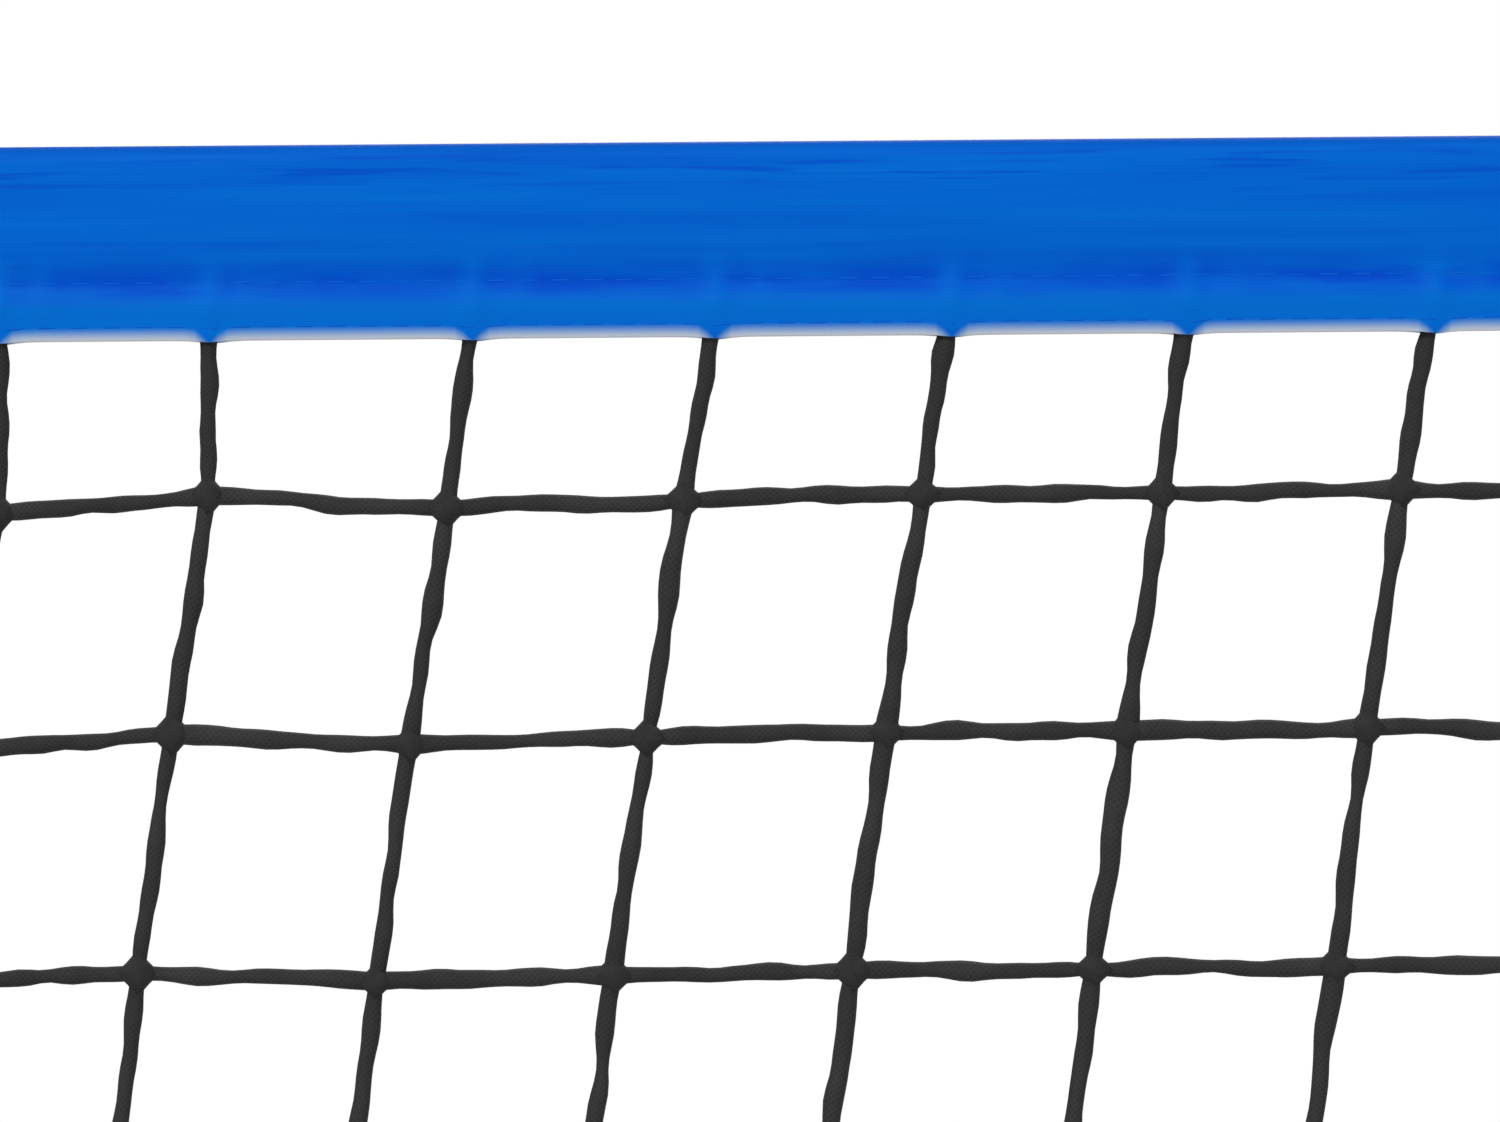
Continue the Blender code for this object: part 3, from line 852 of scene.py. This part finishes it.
# %% Side tapes
PRESS_LENGTH = 4.2 * MM
SHUT_Z = band_low.z - 0.6 * MM  # the pocket is shut from here up
HOLE_RADIUS = 6.3 * MM
FLAT_REACH = 11 * MM  # the leaves lie flat this far round a grommet's middle
FLAT_FADE = 6 * MM


def middle_of(node):
    low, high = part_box(node)
    return (low + high) / 2


def press_side(station, along, stand):
    """Lays the leaves flat under the grommets and closes the pocket towards the band."""
    near = min(hypot(side_tunnel_x + along - place.x, station - place.z) for place in grommets)
    stand = SEAT + (stand - SEAT) * clamp((near - FLAT_REACH) / FLAT_FADE)
    gape = clamp((SHUT_Z - station) / PRESS_LENGTH)
    return min(stand, TUCKED + (side_radius - TUCKED) * sqrt(gape))


def side_place(side):
    def on_side(across, along, station):
        return side * (side_tunnel_x + along), across, station

    return on_side


def punch(strip, side):
    """Cuts the grommets' holes through a side tape."""
    for place in grommets:
        spot = (side * place.x, 0, place.z)
        size = {"vertices": 32, "radius": HOLE_RADIUS, "depth": 20 * MM}
        cutter = new_mesh("punch", "cylinder", spot, rotation=(pi / 2, 0, 0), **size)
        modify(strip, "BOOLEAN", operation="DIFFERENCE", solver="MANIFOLD", object=cutter)
        bpy.data.objects.remove(cutter)


grommets = [middle_of(f"right_{height}_eyelet") for height in GROMMET_HEIGHTS]
side_length = side_high.z - net_bottom
side_twines = np.array(sorted(knot(0, row)[1] for row in range(1, rows + 1)))
side_stations = stations_along(side_twines, net_bottom, side_high.z)
side_stations = sorted(side_stations + [SHUT_Z - share * PRESS_LENGTH for share in (0, 0.3, 0.7, 1)])
sides = {}
for hand, side in HANDS:
    sides[hand] = Tape(side_leaf, side_place(side), side_twines, press_side)
    side_tape, side_flat = fold_strip(f"{hand}_side_tape_strip", sides[hand], side_stations)
    punch(side_tape, side)
    sew_in(side_tape, f"{hand}_side_tape", (side_flat, side_length))

# %% [markdown]
# ## Stitching
#
# Two rows of lock stitch hold each tape, one above the netting's edge and one at the cut edge, and a third
# row closes the tunnel of the side and bottom tapes. Both faces of a lock stitch look the same. The thread
# has the tape's colour, so the rows are felt more than seen. A stitch is a short round cord that dives into
# the skin at both ends. There are thousands of them, so each has four sides.

# %% Bonded thread
def bonded_thread():
    material, tree, shader = new_finish("bonded_polyester_thread")
    twist = wave(tree, (add_node(tree, "UVMap"), "UV"), 0.5 * MM, "DIAGONAL")
    tone = shades(tree, twist, (0.2, 0.8), ("0060cf", "006ad4"))
    connect(tree, shader, Base_Color=tone, Roughness=0.6, Specular_IOR_Level=0.06)
    return material


thread = bonded_thread()
print("made", thread.name)

# %% Rows of stitches
STITCH_PITCH = 6 * MM
STITCH_LENGTH = 4.6 * MM
STITCH_START = 0.2  # share of a pitch before each stitch
THREAD_RADIUS = 0.17 * MM
# Places on a stitch as (share of its length, height over the skin)
STITCH_SHAPE = ((0, -0.3 * MM), (0.2, -0.03 * MM), (0.8, -0.03 * MM), (1, -0.3 * MM))


def stitch(name, tape, start, end, tunnel_sewn):
    """Rows of stitches on both faces of a tape, as one mesh."""
    edge = tape.leaf[0][0]
    flat_part = tape.leaf[: len(HEM) + FLAT_STEPS + 1]
    seams = [edge + EDGE_SEAM, edge + HEM_SEAM] + [flat_part[-1][0]] * tunnel_sewn
    routes = []
    for along in seams:
        height = np.interp(along, flat_part[:, 0], flat_part[:, 1])
        for face in (-1, 1):
            for number in range(floor((end - start) / STITCH_PITCH)):
                first = start + (number + STITCH_START) * STITCH_PITCH
                route = []
                for share, lift in STITCH_SHAPE:
                    station = first + share * STITCH_LENGTH
                    stand, low = skin_place(tape, station, along, height, face)
                    route.append((tape.place(face * (stand + lift), low, station), 1.0))
                routes.append(route)
    return cords(name, routes, THREAD_RADIUS, sides=4)


sewn = [("headband", band, -half_width, half_width), ("bottom_tape", foot, cord_low.x, cord_high.x)]
sewn += [(f"{hand}_side_tape", tape, net_bottom, SHUT_Z) for hand, tape in sides.items()]
for node, tape, start, end in sewn:
    stitches = stitch(f"{node}_stitching", tape, start, end, tunnel_sewn=node != "headband")
    dress(stitches, thread, "net", "blue_tape", node)

# %% [markdown]
# ## Headline cable
#
# A steel rope in a black vinyl coat runs through the band's fold. At each end it turns back round an eye
# shaped like a teardrop, and both strands lie side by side in a ferrule. It is pulled tight and held along
# its whole length, so it doesn't hang: one curve follows the same rule as the solid cable.

# %% Coated cable
def cable_coat():
    material, tree, shader = new_finish("pvc_cable_coat")
    place = (add_node(tree, "TexCoord"), "Object")
    scuffs = patches(tree, place, 3 * [6 * MM], Detail=4.0, Roughness=0.65)
    tone = shades(tree, scuffs, (0.35, 0.7), ("242427", "313135"))
    gloss = spread(tree, scuffs, 0.3, 0.7, 0.28, 0.45)
    # The strands show through the coat as slanting ridges
    lay = wave(tree, (add_node(tree, "UVMap"), "UV"), 3.2 * MM, "DIAGONAL")
    ridges = bump(tree, lay, 0.12 * MM, 0.5)
    connect(tree, shader, Base_Color=tone, Roughness=gloss, Specular_IOR_Level=0.3, Normal=ridges)
    return material


# %% Cable
EYE_LENGTH = 42 * MM
EYE_WIDTH = 24.6 * MM
EYE_TAPER = 1.5
EYE_STEPS = 60
STRAIGHT_STEPS = 60
STRAND_GAP = 5.6 * MM
TAIL = 3 * MM  # how far the tails stand out of the ferrules
FIT = 0.3 * MM  # clearance between the cable and the metal round it
tail_x = ferrule_low.x - TAIL


def teardrop(angle):
    return sin(angle) * sin(angle / 2) ** EYE_TAPER


def eye_point(share):
    """Cable's centre round the right eye as (x, z). The share is 0 on the main strand and 1 on the tail."""
    angle = 2 * pi * share
    widest = 2 * acos(1 / sqrt(2 + EYE_TAPER))
    x = ferrule_high.x + EYE_LENGTH * (1 - cos(angle)) / 2
    z = STRAND_GAP / 2 * (cos(angle / 2) - 1) + EYE_WIDTH / 2 * teardrop(angle) / teardrop(widest)
    return x, z


def cable_route():
    eye = [eye_point(step / EYE_STEPS) for step in range(EYE_STEPS + 1)]
    eye.append((tail_x, -STRAND_GAP))
    straight = [(x, 0.0) for x in np.linspace(-ferrule_high.x, ferrule_high.x, STRAIGHT_STEPS)[1:-1]]
    run = [(-x, z) for x, z in reversed(eye)] + straight + eye
    return [((x, 0.0, z), 1.0) for x, z in run]


whole_cable = cable_route()
cable = cords("headline_cable_coat", [whole_cable], CABLE_RADIUS, sides=14)
dress(cable, cable_coat(), "headline", "cable_coat", "headline_cable")
print("cable", round(route_length(whole_cable), 3), "m long")

# %% [markdown]
# The coat is cut square at the tails, and the ends of the strands stand a little out of it. They are bare
# steel, in the same kind of finish as the fittings that follow: a metal with worn patches.

# %% Wires at the cable's cut ends
WIRE_RADIUS = 0.5 * MM
WIRE_SPACING = 2.1 * WIRE_RADIUS
WIRES = 6  # strands round the middle one
WIRE_ROOT = 1 * MM  # how deep an end starts in the coat
WIRE_STAND = 0.25 * MM  # how far it stands out


def worn_metal(name, codes, patch, smooth, rough):
    """A metal in three shades, with patches of a real size that change its colour and its gloss."""
    material, tree, shader = new_finish(name)
    place = (add_node(tree, "TexCoord"), "Object")
    wear = patches(tree, place, 3 * [patch], Detail=5.0, Roughness=0.6)
    tone = shades(tree, wear, (0.3, 0.5, 0.7), codes)
    gloss = spread(tree, wear, 0.3, 0.7, rough, smooth)
    grain = bump(tree, patches(tree, place, 3 * [0.5 * MM], Detail=3.0), 0.04 * MM, 0.4)
    connect(tree, shader, Base_Color=tone, Metallic=1.0, Roughness=gloss, Normal=grain)
    return material


def wire_ends():
    """Short ends of the rope's strands, which stand a little out of the coat at both tails."""
    turns = [2 * pi * number / WIRES for number in range(WIRES)]
    spots = [(0.0, 0.0)] + [(WIRE_SPACING * cos(turn), WIRE_SPACING * sin(turn)) for turn in turns]
    ends = (tail_x + WIRE_ROOT, tail_x - WIRE_STAND)
    routes = [
        [((side * x, across, up - STRAND_GAP), 1.0) for x in ends]
        for _, side in HANDS
        for across, up in spots
    ]
    return cords("headline_cable_wires", routes, WIRE_RADIUS, sides=8)


steel = worn_metal("bright_steel_wire", ("a2a5a8", "babdc0", "cdd0d2"), 3 * MM, smooth=0.28, rough=0.4)
dress(wire_ends(), steel, "headline", "thimble_metal", "headline_cable")

# %% [markdown]
# ## Ferrules
#
# A ferrule is a short oval tube of aluminium, pressed onto both strands with a die that leaves a few
# grooves. A ring of points is pulled into an oval, extruded from one end to the other and drawn in at each
# groove. Solidify gives it its wall, and a bevel breaks its edges.

# %% Ferrules
FERRULE_WALL = 1.6 * MM
FERRULE_RADIUS = CABLE_RADIUS + FIT + FERRULE_WALL
FERRULE_END = 0.955  # share of the section that is left at the ends
FERRULE_LIP = 0.035  # share of the length over which an end is drawn in
CRIMP_DEPTH = 0.93  # share of the section that is left in a groove
CRIMPS = (0.27, 0.5, 0.73)  # places of the grooves along the ferrule
GROOVE = ((-0.085, 1.0), (-0.05, CRIMP_DEPTH), (0.05, CRIMP_DEPTH), (0.085, 1.0))
FERRULE_POINTS = 32


def ferrule_rings():
    """Rings of a ferrule as (share of its length, share of its section)."""
    rings = [(0.0, FERRULE_END), (FERRULE_LIP, 1.0)]
    rings += [(crimp + beside, share) for crimp in CRIMPS for beside, share in GROOVE]
    return rings + [(1 - FERRULE_LIP, 1.0), (1.0, FERRULE_END)]


def extrude(step):
    """Extrudes what is selected, in edit mode."""
    bpy.ops.mesh.extrude_region_move(TRANSFORM_OT_translate={"value": step})


def finish_rigid(piece, bevel_width, angle):
    """Turns the faces outwards, bevels the sharp edges and shades the rest smooth."""
    clean(piece)
    if bevel_width:
        edges = {"limit_method": "ANGLE", "angle_limit": radians(angle)}
        modify(piece, "BEVEL", width=bevel_width, segments=2, **edges)
    bpy.ops.object.shade_smooth_by_angle(angle=radians(angle))


def make_ferrule(hand, side):
    sleeve = new_mesh(f"{hand}_ferrule_sleeve", "circle", vertices=FERRULE_POINTS, radius=FERRULE_RADIUS)
    upright = Matrix.Rotation(pi / FERRULE_POINTS, 4, "X") @ Matrix.Rotation(pi / 2, 4, "Y")
    sleeve.data.transform(Matrix.Translation((side * ferrule_low.x, 0, 0)) @ upright)
    select_parts(sleeve, "vertices", lambda vertex: vertex.co.z < 0)
    with edit_mode():
        bpy.ops.transform.translate(value=(0, 0, -STRAND_GAP))
    length = ferrule_high.x - ferrule_low.x
    last_place, last_share = 0.0, 1.0
    with edit_mode(everything=True):
        for place, share in ferrule_rings():
            if place:
                extrude((side * (place - last_place) * length, 0, 0))
            drawn = share / last_share
            bpy.ops.transform.resize(value=(1, drawn, drawn), center_override=(0, 0, -STRAND_GAP / 2))
            last_place, last_share = place, share
    clean(sleeve)
    modify(sleeve, "SOLIDIFY", thickness=FERRULE_WALL, offset=-1.0)
    finish_rigid(sleeve, bevel_width=0.3 * MM, angle=60)
    return sleeve


aluminium = worn_metal("pressed_aluminium", ("a9abad", "c3c5c7", "d6d8d9"), 5 * MM, smooth=0.32, rough=0.5)
for hand, side in HANDS:
    dress(make_ferrule(hand, side), aluminium, "headline", "ferrule_metal", f"{hand}_ferrule")

# %% [markdown]
# ## Thimbles
#
# A thimble lines the eye so that a hook can't cut the coat. It is a channel of zinc-plated steel that wraps
# the inner half of the cable. An arc of points is extruded along the eye, step by step, and turned at each
# step to stay square to the cable.

# %% Thimbles
GROOVE_RADIUS = CABLE_RADIUS + FIT
GROOVE_MOUTH = 0.3  # how far past its middle the channel wraps the cable, as a share of the radius
THIMBLE_WALL = 1.5 * MM
THIMBLE_POINTS = 28
THIMBLE_STEPS = 80
THROAT_CLEARANCE = 0.3 * MM  # from the eye's axis to the thimble, at the throat
THROAT_GAP = GROOVE_RADIUS + THIMBLE_WALL + THROAT_CLEARANCE  # from that axis to the cable
NUDGE = 0.002  # small share of the eye, for finding which way the cable runs


def turn_at(share):
    """Angle of the way from the cable's centre into the right eye, from the Z axis towards the X axis."""
    (back_x, back_z), (ahead_x, ahead_z) = eye_point(share - NUDGE), eye_point(share + NUDGE)
    return atan2(ahead_z - back_z, back_x - ahead_x)


def make_thimble(hand, side):
    shares = [step / THIMBLE_STEPS for step in range(1, THIMBLE_STEPS)]
    throat = next(share for share in shares if eye_point(share)[1] + STRAND_GAP / 2 > THROAT_GAP)
    shares = [share for share in shares if throat <= share <= 1 - throat]
    channel = new_mesh(f"{hand}_thimble_channel", "circle", vertices=THIMBLE_POINTS, radius=GROOVE_RADIUS)
    channel.data.transform(Matrix.Rotation(pi / 2, 4, "Y"))
    select_parts(channel, "vertices", lambda vertex: vertex.co.z < -GROOVE_MOUTH * GROOVE_RADIUS)
    with edit_mode():
        bpy.ops.mesh.delete(type="VERT")
    first_x, first_z = eye_point(shares[0])
    turned_in = Matrix.Rotation(turn_at(shares[0]), 4, "Y")
    channel.data.transform(Matrix.Translation((first_x, 0, first_z)) @ turned_in)
    with edit_mode(everything=True):
        for share, following in zip(shares, shares[1:]):
            (x, z), (next_x, next_z) = eye_point(share), eye_point(following)
            extrude((next_x - x, 0, next_z - z))
            turn = (turn_at(following) - turn_at(share) + pi) % (2 * pi) - pi
            bpy.ops.transform.rotate(value=-turn, orient_axis="Y", center_override=(next_x, 0, next_z))
    channel.data.update()
    first_face = channel.data.polygons[0]
    if first_face.normal.dot(first_face.center - Vector((first_x, 0, first_z))) < 0:
        channel.data.flip_normals()
    modify(channel, "SOLIDIFY", thickness=THIMBLE_WALL, offset=1.0)
    channel.data.transform(Matrix.Diagonal((side, 1, 1, 1)))
    finish_rigid(channel, bevel_width=0.35 * MM, angle=50)
    return channel


zinc = worn_metal("zinc_plated_steel", ("9da3a8", "b9bec2", "cfd3d6"), 4 * MM, smooth=0.25, rough=0.42)
for hand, side in HANDS:
    dress(make_thimble(hand, side), zinc, "headline", "thimble_metal", f"{hand}_thimble")

# %% [markdown]
# ## Grommets
#
# A grommet is two pieces of brass: an eyelet with a rolled flange, pushed through the tape from the front,
# and a washer behind, over which the eyelet's rim is curled. Both are turned shapes. A single point is
# extruded along the section, and the section is spun round the grommet's axis.

# %% Eyelets and washers
# Sections as (radius, depth behind the net's plane), in mm
EYELET = [(5.2, 1.9), (5.2, -1.2), (5.4, -1.8), (5.9, -2.15), (6.7, -2.25), (8.4, -2.15), (9.5, -1.95)]
EYELET += [(10.0, -1.6), (9.9, -1.3), (9.4, -1.24), (6.0, -1.24), (6.0, 2.08), (7.0, 2.1), (7.45, 2.35)]
EYELET += [(7.35, 2.8), (6.8, 3.12), (6.2, 3.12), (5.6, 2.8), (5.3, 2.4)]
WASHER = [(6.05, 1.24), (9.6, 1.24), (9.95, 1.45), (9.9, 1.75), (9.5, 2.0), (8.0, 2.06), (6.05, 2.06)]
TURNS = 40


def turned(name, section):
    """Spins a closed section round the Y axis."""
    piece = new_mesh(name, "plane", size=MM)
    last = (0.0, 0.0)
    with edit_mode(everything=True):
        bpy.ops.mesh.merge(type="CENTER")
        for number, (radius, depth) in enumerate(section + section[:1]):
            step = ((radius - last[0]) * MM, (depth - last[1]) * MM, 0)
            if number:
                extrude(step)
            else:
                bpy.ops.transform.translate(value=step)
            last = (radius, depth)
        bpy.ops.mesh.select_all(action="SELECT")
        bpy.ops.mesh.spin(steps=TURNS, angle=2 * pi, center=(0, 0, 0), axis=(0, 1, 0))
    finish_rigid(piece, bevel_width=0, angle=50)
    return piece


brass = worn_metal("pressed_brass", ("a5813f", "c09a52", "d3b06a"), 6 * MM, smooth=0.24, rough=0.4)
for word, section in (("eyelet", EYELET), ("washer", WASHER)):
    model = turned(word, section)
    for hand, _ in HANDS:
        for height in GROMMET_HEIGHTS:
            node = f"{hand}_{height}_{word}"
            place = middle_of(node)
            piece = copy_mesh(model, node + "_brass", Matrix.Translation((place.x, 0, place.z)))
            dress(piece, brass, "net", "grommet_brass", node)
    bpy.data.objects.remove(model)

# %% [markdown]
# ## Dowels and their caps
#
# A dowel is a pultruded rod: glass threads drawn through resin, which leaves fine streaks along it. Its ends
# are capped with dipped vinyl, so that they can't wear through the pocket. The rod is a cylinder with broken
# edges. A cap is a cylinder whose open end is inset and pushed in to make a cup.

# %% Fibreglass and dipped vinyl
def fibreglass():
    material, tree, shader = new_finish("pultruded_fibreglass")
    place = (add_node(tree, "TexCoord"), "Object")
    # Glass threads, 0.7 mm thick and about 90 mm long
    threads = patches(tree, place, (0.7 * MM, 0.7 * MM, 90 * MM), Detail=3.0, Roughness=0.6)
    tone = shades(tree, threads, (0.3, 0.5, 0.7), ("d3d2c2", "dedccd", "e8e6da"))
    connect(tree, shader, Base_Color=tone, Normal=bump(tree, threads, 0.06 * MM, 0.5))
    connect(tree, shader, Roughness=0.35, Specular_IOR_Level=0.35)
    return material


def dipped_vinyl():
    material, tree, shader = new_finish("dipped_vinyl")
    dimples = patches(tree, (add_node(tree, "TexCoord"), "Object"), 3 * [4 * MM], Detail=3.0)
    tone = shades(tree, dimples, (0.3, 0.7), ("232323", "2f2f2e"))
    connect(tree, shader, Base_Color=tone, Normal=bump(tree, dimples, 0.15 * MM, 0.4))
    connect(tree, shader, Roughness=0.6, Specular_IOR_Level=0.2)
    return material


glass_rod = fibreglass()
cap_skin = dipped_vinyl()
print("made", glass_rod.name, "and", cap_skin.name)

# %% Dowels and caps
CAP_WALL = 0.8 * MM
CAP_END = 2 * MM
CAP_ROUNDING = 1.7 * MM


def rod(name, node):
    """A round rod with the box of a node, along Z."""
    low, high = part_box(node)
    return new_mesh(name, "cylinder", (low + high) / 2, vertices=32, radius=high.y, depth=high.z - low.z)


@contextmanager
def end_selected(piece, upward):
    """Edit mode with the flat end of a rod selected."""
    select_parts(piece, "polygons", lambda face: face.normal.z * upward > 0.9)
    with edit_mode():
        bpy.ops.mesh.select_mode(type="FACE")
        yield


def make_cap(name, node, closed):
    """A cup over a dowel's end. closed is 1 where its shut end looks up and -1 where it looks down."""
    cap = rod(name, node)
    low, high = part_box(node)
    bore = high.z - low.z - CAP_END
    with end_selected(cap, closed):
        bpy.ops.mesh.bevel(offset=CAP_ROUNDING, segments=5, affect="EDGES")
    with end_selected(cap, -closed):
        bpy.ops.mesh.inset(thickness=CAP_WALL)
        extrude((0, 0, closed * bore))
    finish_rigid(cap, bevel_width=0.2 * MM, angle=45)
    return cap


for hand, _ in HANDS:
    body = f"{hand}_dowel"
    dowel = rod(f"{body}_rod", body)
    finish_rigid(dowel, bevel_width=0.5 * MM, angle=45)
    dress(dowel, glass_rod, body, "dowel_fibreglass", body)
    for end, closed in (("top", 1), ("bottom", -1)):
        node = f"{body}_{end}_cap"
        dress(make_cap(node + "_cup", node, closed), cap_skin, body, "cap_vinyl", node)

# %% [markdown]
# ## Weight cord
#
# A braided polyester cord lies in the bottom tape's fold and keeps the net's lower edge straight. It fills
# the fold from end to end, so it is a straight curve, finished with the same braid as the twine.

# %% Weight cord
CORD_RADIUS = cord_high.y
CORD_POINTS = 120
white_braid = braided("braided_polyester_cord", ("c9c8c2", "d8d7d1", "e4e3de"), CORD_RADIUS, 0.3 * MM)
cord_route = [((x, 0.0, bottom_tunnel_z), 1.0) for x in np.linspace(cord_low.x, cord_high.x, CORD_POINTS)]
weight_cord = cords("bottom_cord_braid", [cord_route], CORD_RADIUS, sides=14)
dress(weight_cord, white_braid, "net", "weight_cord", "bottom_cord")

# %% [markdown]
# ## Light, floor and camera
#
# The net hangs in plain studio light: one broad soft lamp in front and above, a weaker one behind, and a
# grey world that fills the shadows. Rays that come from the camera, a mirror or glass see the world as
# white. The floor lies low enough for the dowels to be drawn out downwards, and fades to white at its rim.

# %% World
WORLD_FILL = 0.5


def light_world():
    world = bpy.data.worlds.new("studio")
    bpy.context.scene.world = world
    world.use_nodes = True
    tree = world.node_tree
    tree.nodes.clear()
    ray = add_node(tree, "LightPath")
    plain = calculate(tree, "MAXIMUM", (ray, "Is Camera Ray"), (ray, "Is Glossy Ray"))
    white = calculate(tree, "MAXIMUM", plain, (ray, "Is Transmission Ray"))
    fill = add_node(tree, "Background", Color=linear("ffffff"), Strength=WORLD_FILL)
    paper = add_node(tree, "Background", Color=linear("ffffff"), Strength=1.0)
    layers = (white, (fill, "Background"), (paper, "Background"))
    mixed = add_node(tree, "MixShader", values=layers)
    add_node(tree, "OutputWorld", Surface=(mixed, "Shader"))


light_world()
bpy.context.scene.view_settings.view_transform = "Standard"
print("world fill", WORLD_FILL)

# %% Lamps
LAMP_SIZE = (3.0, 1.6)


def add_lamp(name, place, aim, watts):
    lamp = bpy.data.lights.new(name, "AREA")
    lamp.shape = "RECTANGLE"
    lamp.size, lamp.size_y = LAMP_SIZE
    lamp.energy = watts
    way = Vector(aim) - Vector(place)
    add_object(name, lamp, place, way.to_track_quat("-Z", "Y").to_euler())


add_lamp("front_lamp", place=(-0.9, -2.6, 2.4), aim=(0, 0, -0.2), watts=90)
add_lamp("back_lamp", place=(0.9, 3.0, 2.2), aim=(0, 0, -0.3), watts=70)
print("two lamps")

# %% Floor
FLOOR_Z = -1.55
FLOOR_RADIUS = 9.0
FADE_START = 3.5
FADE_END = FLOOR_RADIUS - 0.4
FLOOR_PATCH = 1 / 3


def lay_floor():
    size = {"vertices": 96, "radius": FLOOR_RADIUS, "fill_type": "NGON"}
    floor_disc = new_mesh("studio_floor", "circle", (0, 0, FLOOR_Z), **size)
    with edit_mode():
        bpy.ops.mesh.inset(thickness=FLOOR_RADIUS / 2)
    material, tree, shader = new_finish("pale_painted_floor")
    place = (add_node(tree, "TexCoord"), "Object")
    out = add_node(tree, "VectorMath", operation="LENGTH", values=(place,))
    fade = spread(tree, (out, "Value"), FADE_START, FADE_END, 0.0, 1.0)
    mottle = patches(tree, place, 3 * [FLOOR_PATCH], Detail=3.0)
    paint = shades(tree, mottle, (0.3, 0.7), ("ececea", "eeeeec"))
    connect(tree, shader, Base_Color=paint, Roughness=0.7)
    ray = add_node(tree, "LightPath")
    rim = calculate(tree, "MULTIPLY", fade, (ray, "Is Camera Ray"))
    paper = add_node(tree, "Emission", Color=linear("ffffff"), Strength=1.0)
    mixed = add_node(tree, "MixShader", values=(rim, (shader, "BSDF"), (paper, "Emission")))
    connect(tree, tree.nodes["Material Output"], Surface=(mixed, "Shader"))
    floor_disc.data.materials.append(material)


lay_floor()
print("floor at", FLOOR_Z)

# %% Camera
PHOTO_WIDTH = 1500
PHOTO_HEIGHT = 1122
MESH_PIXELS = 240  # one mesh in the photograph
BAND_TOP = (711, 141.4)  # pixel of the band's top above the net's middle
TILT = radians(0.45)
LENS = 100
SENSOR = 36


def place_camera():
    pixel = MESH / MESH_PIXELS
    centre_x = (PHOTO_WIDTH / 2 - BAND_TOP[0]) * pixel
    centre_z = band_high.z - (PHOTO_HEIGHT / 2 - BAND_TOP[1]) * pixel
    distance = PHOTO_WIDTH * pixel * LENS / SENSOR
    camera = bpy.data.cameras.new("camera")
    camera.lens = LENS
    camera.sensor_width = SENSOR
    place = (centre_x, -distance, centre_z)
    bpy.context.scene.camera = add_object("camera", camera, place, (pi / 2, TILT, 0))
    print("camera", round(distance, 3), "m in front of the net")


place_camera()
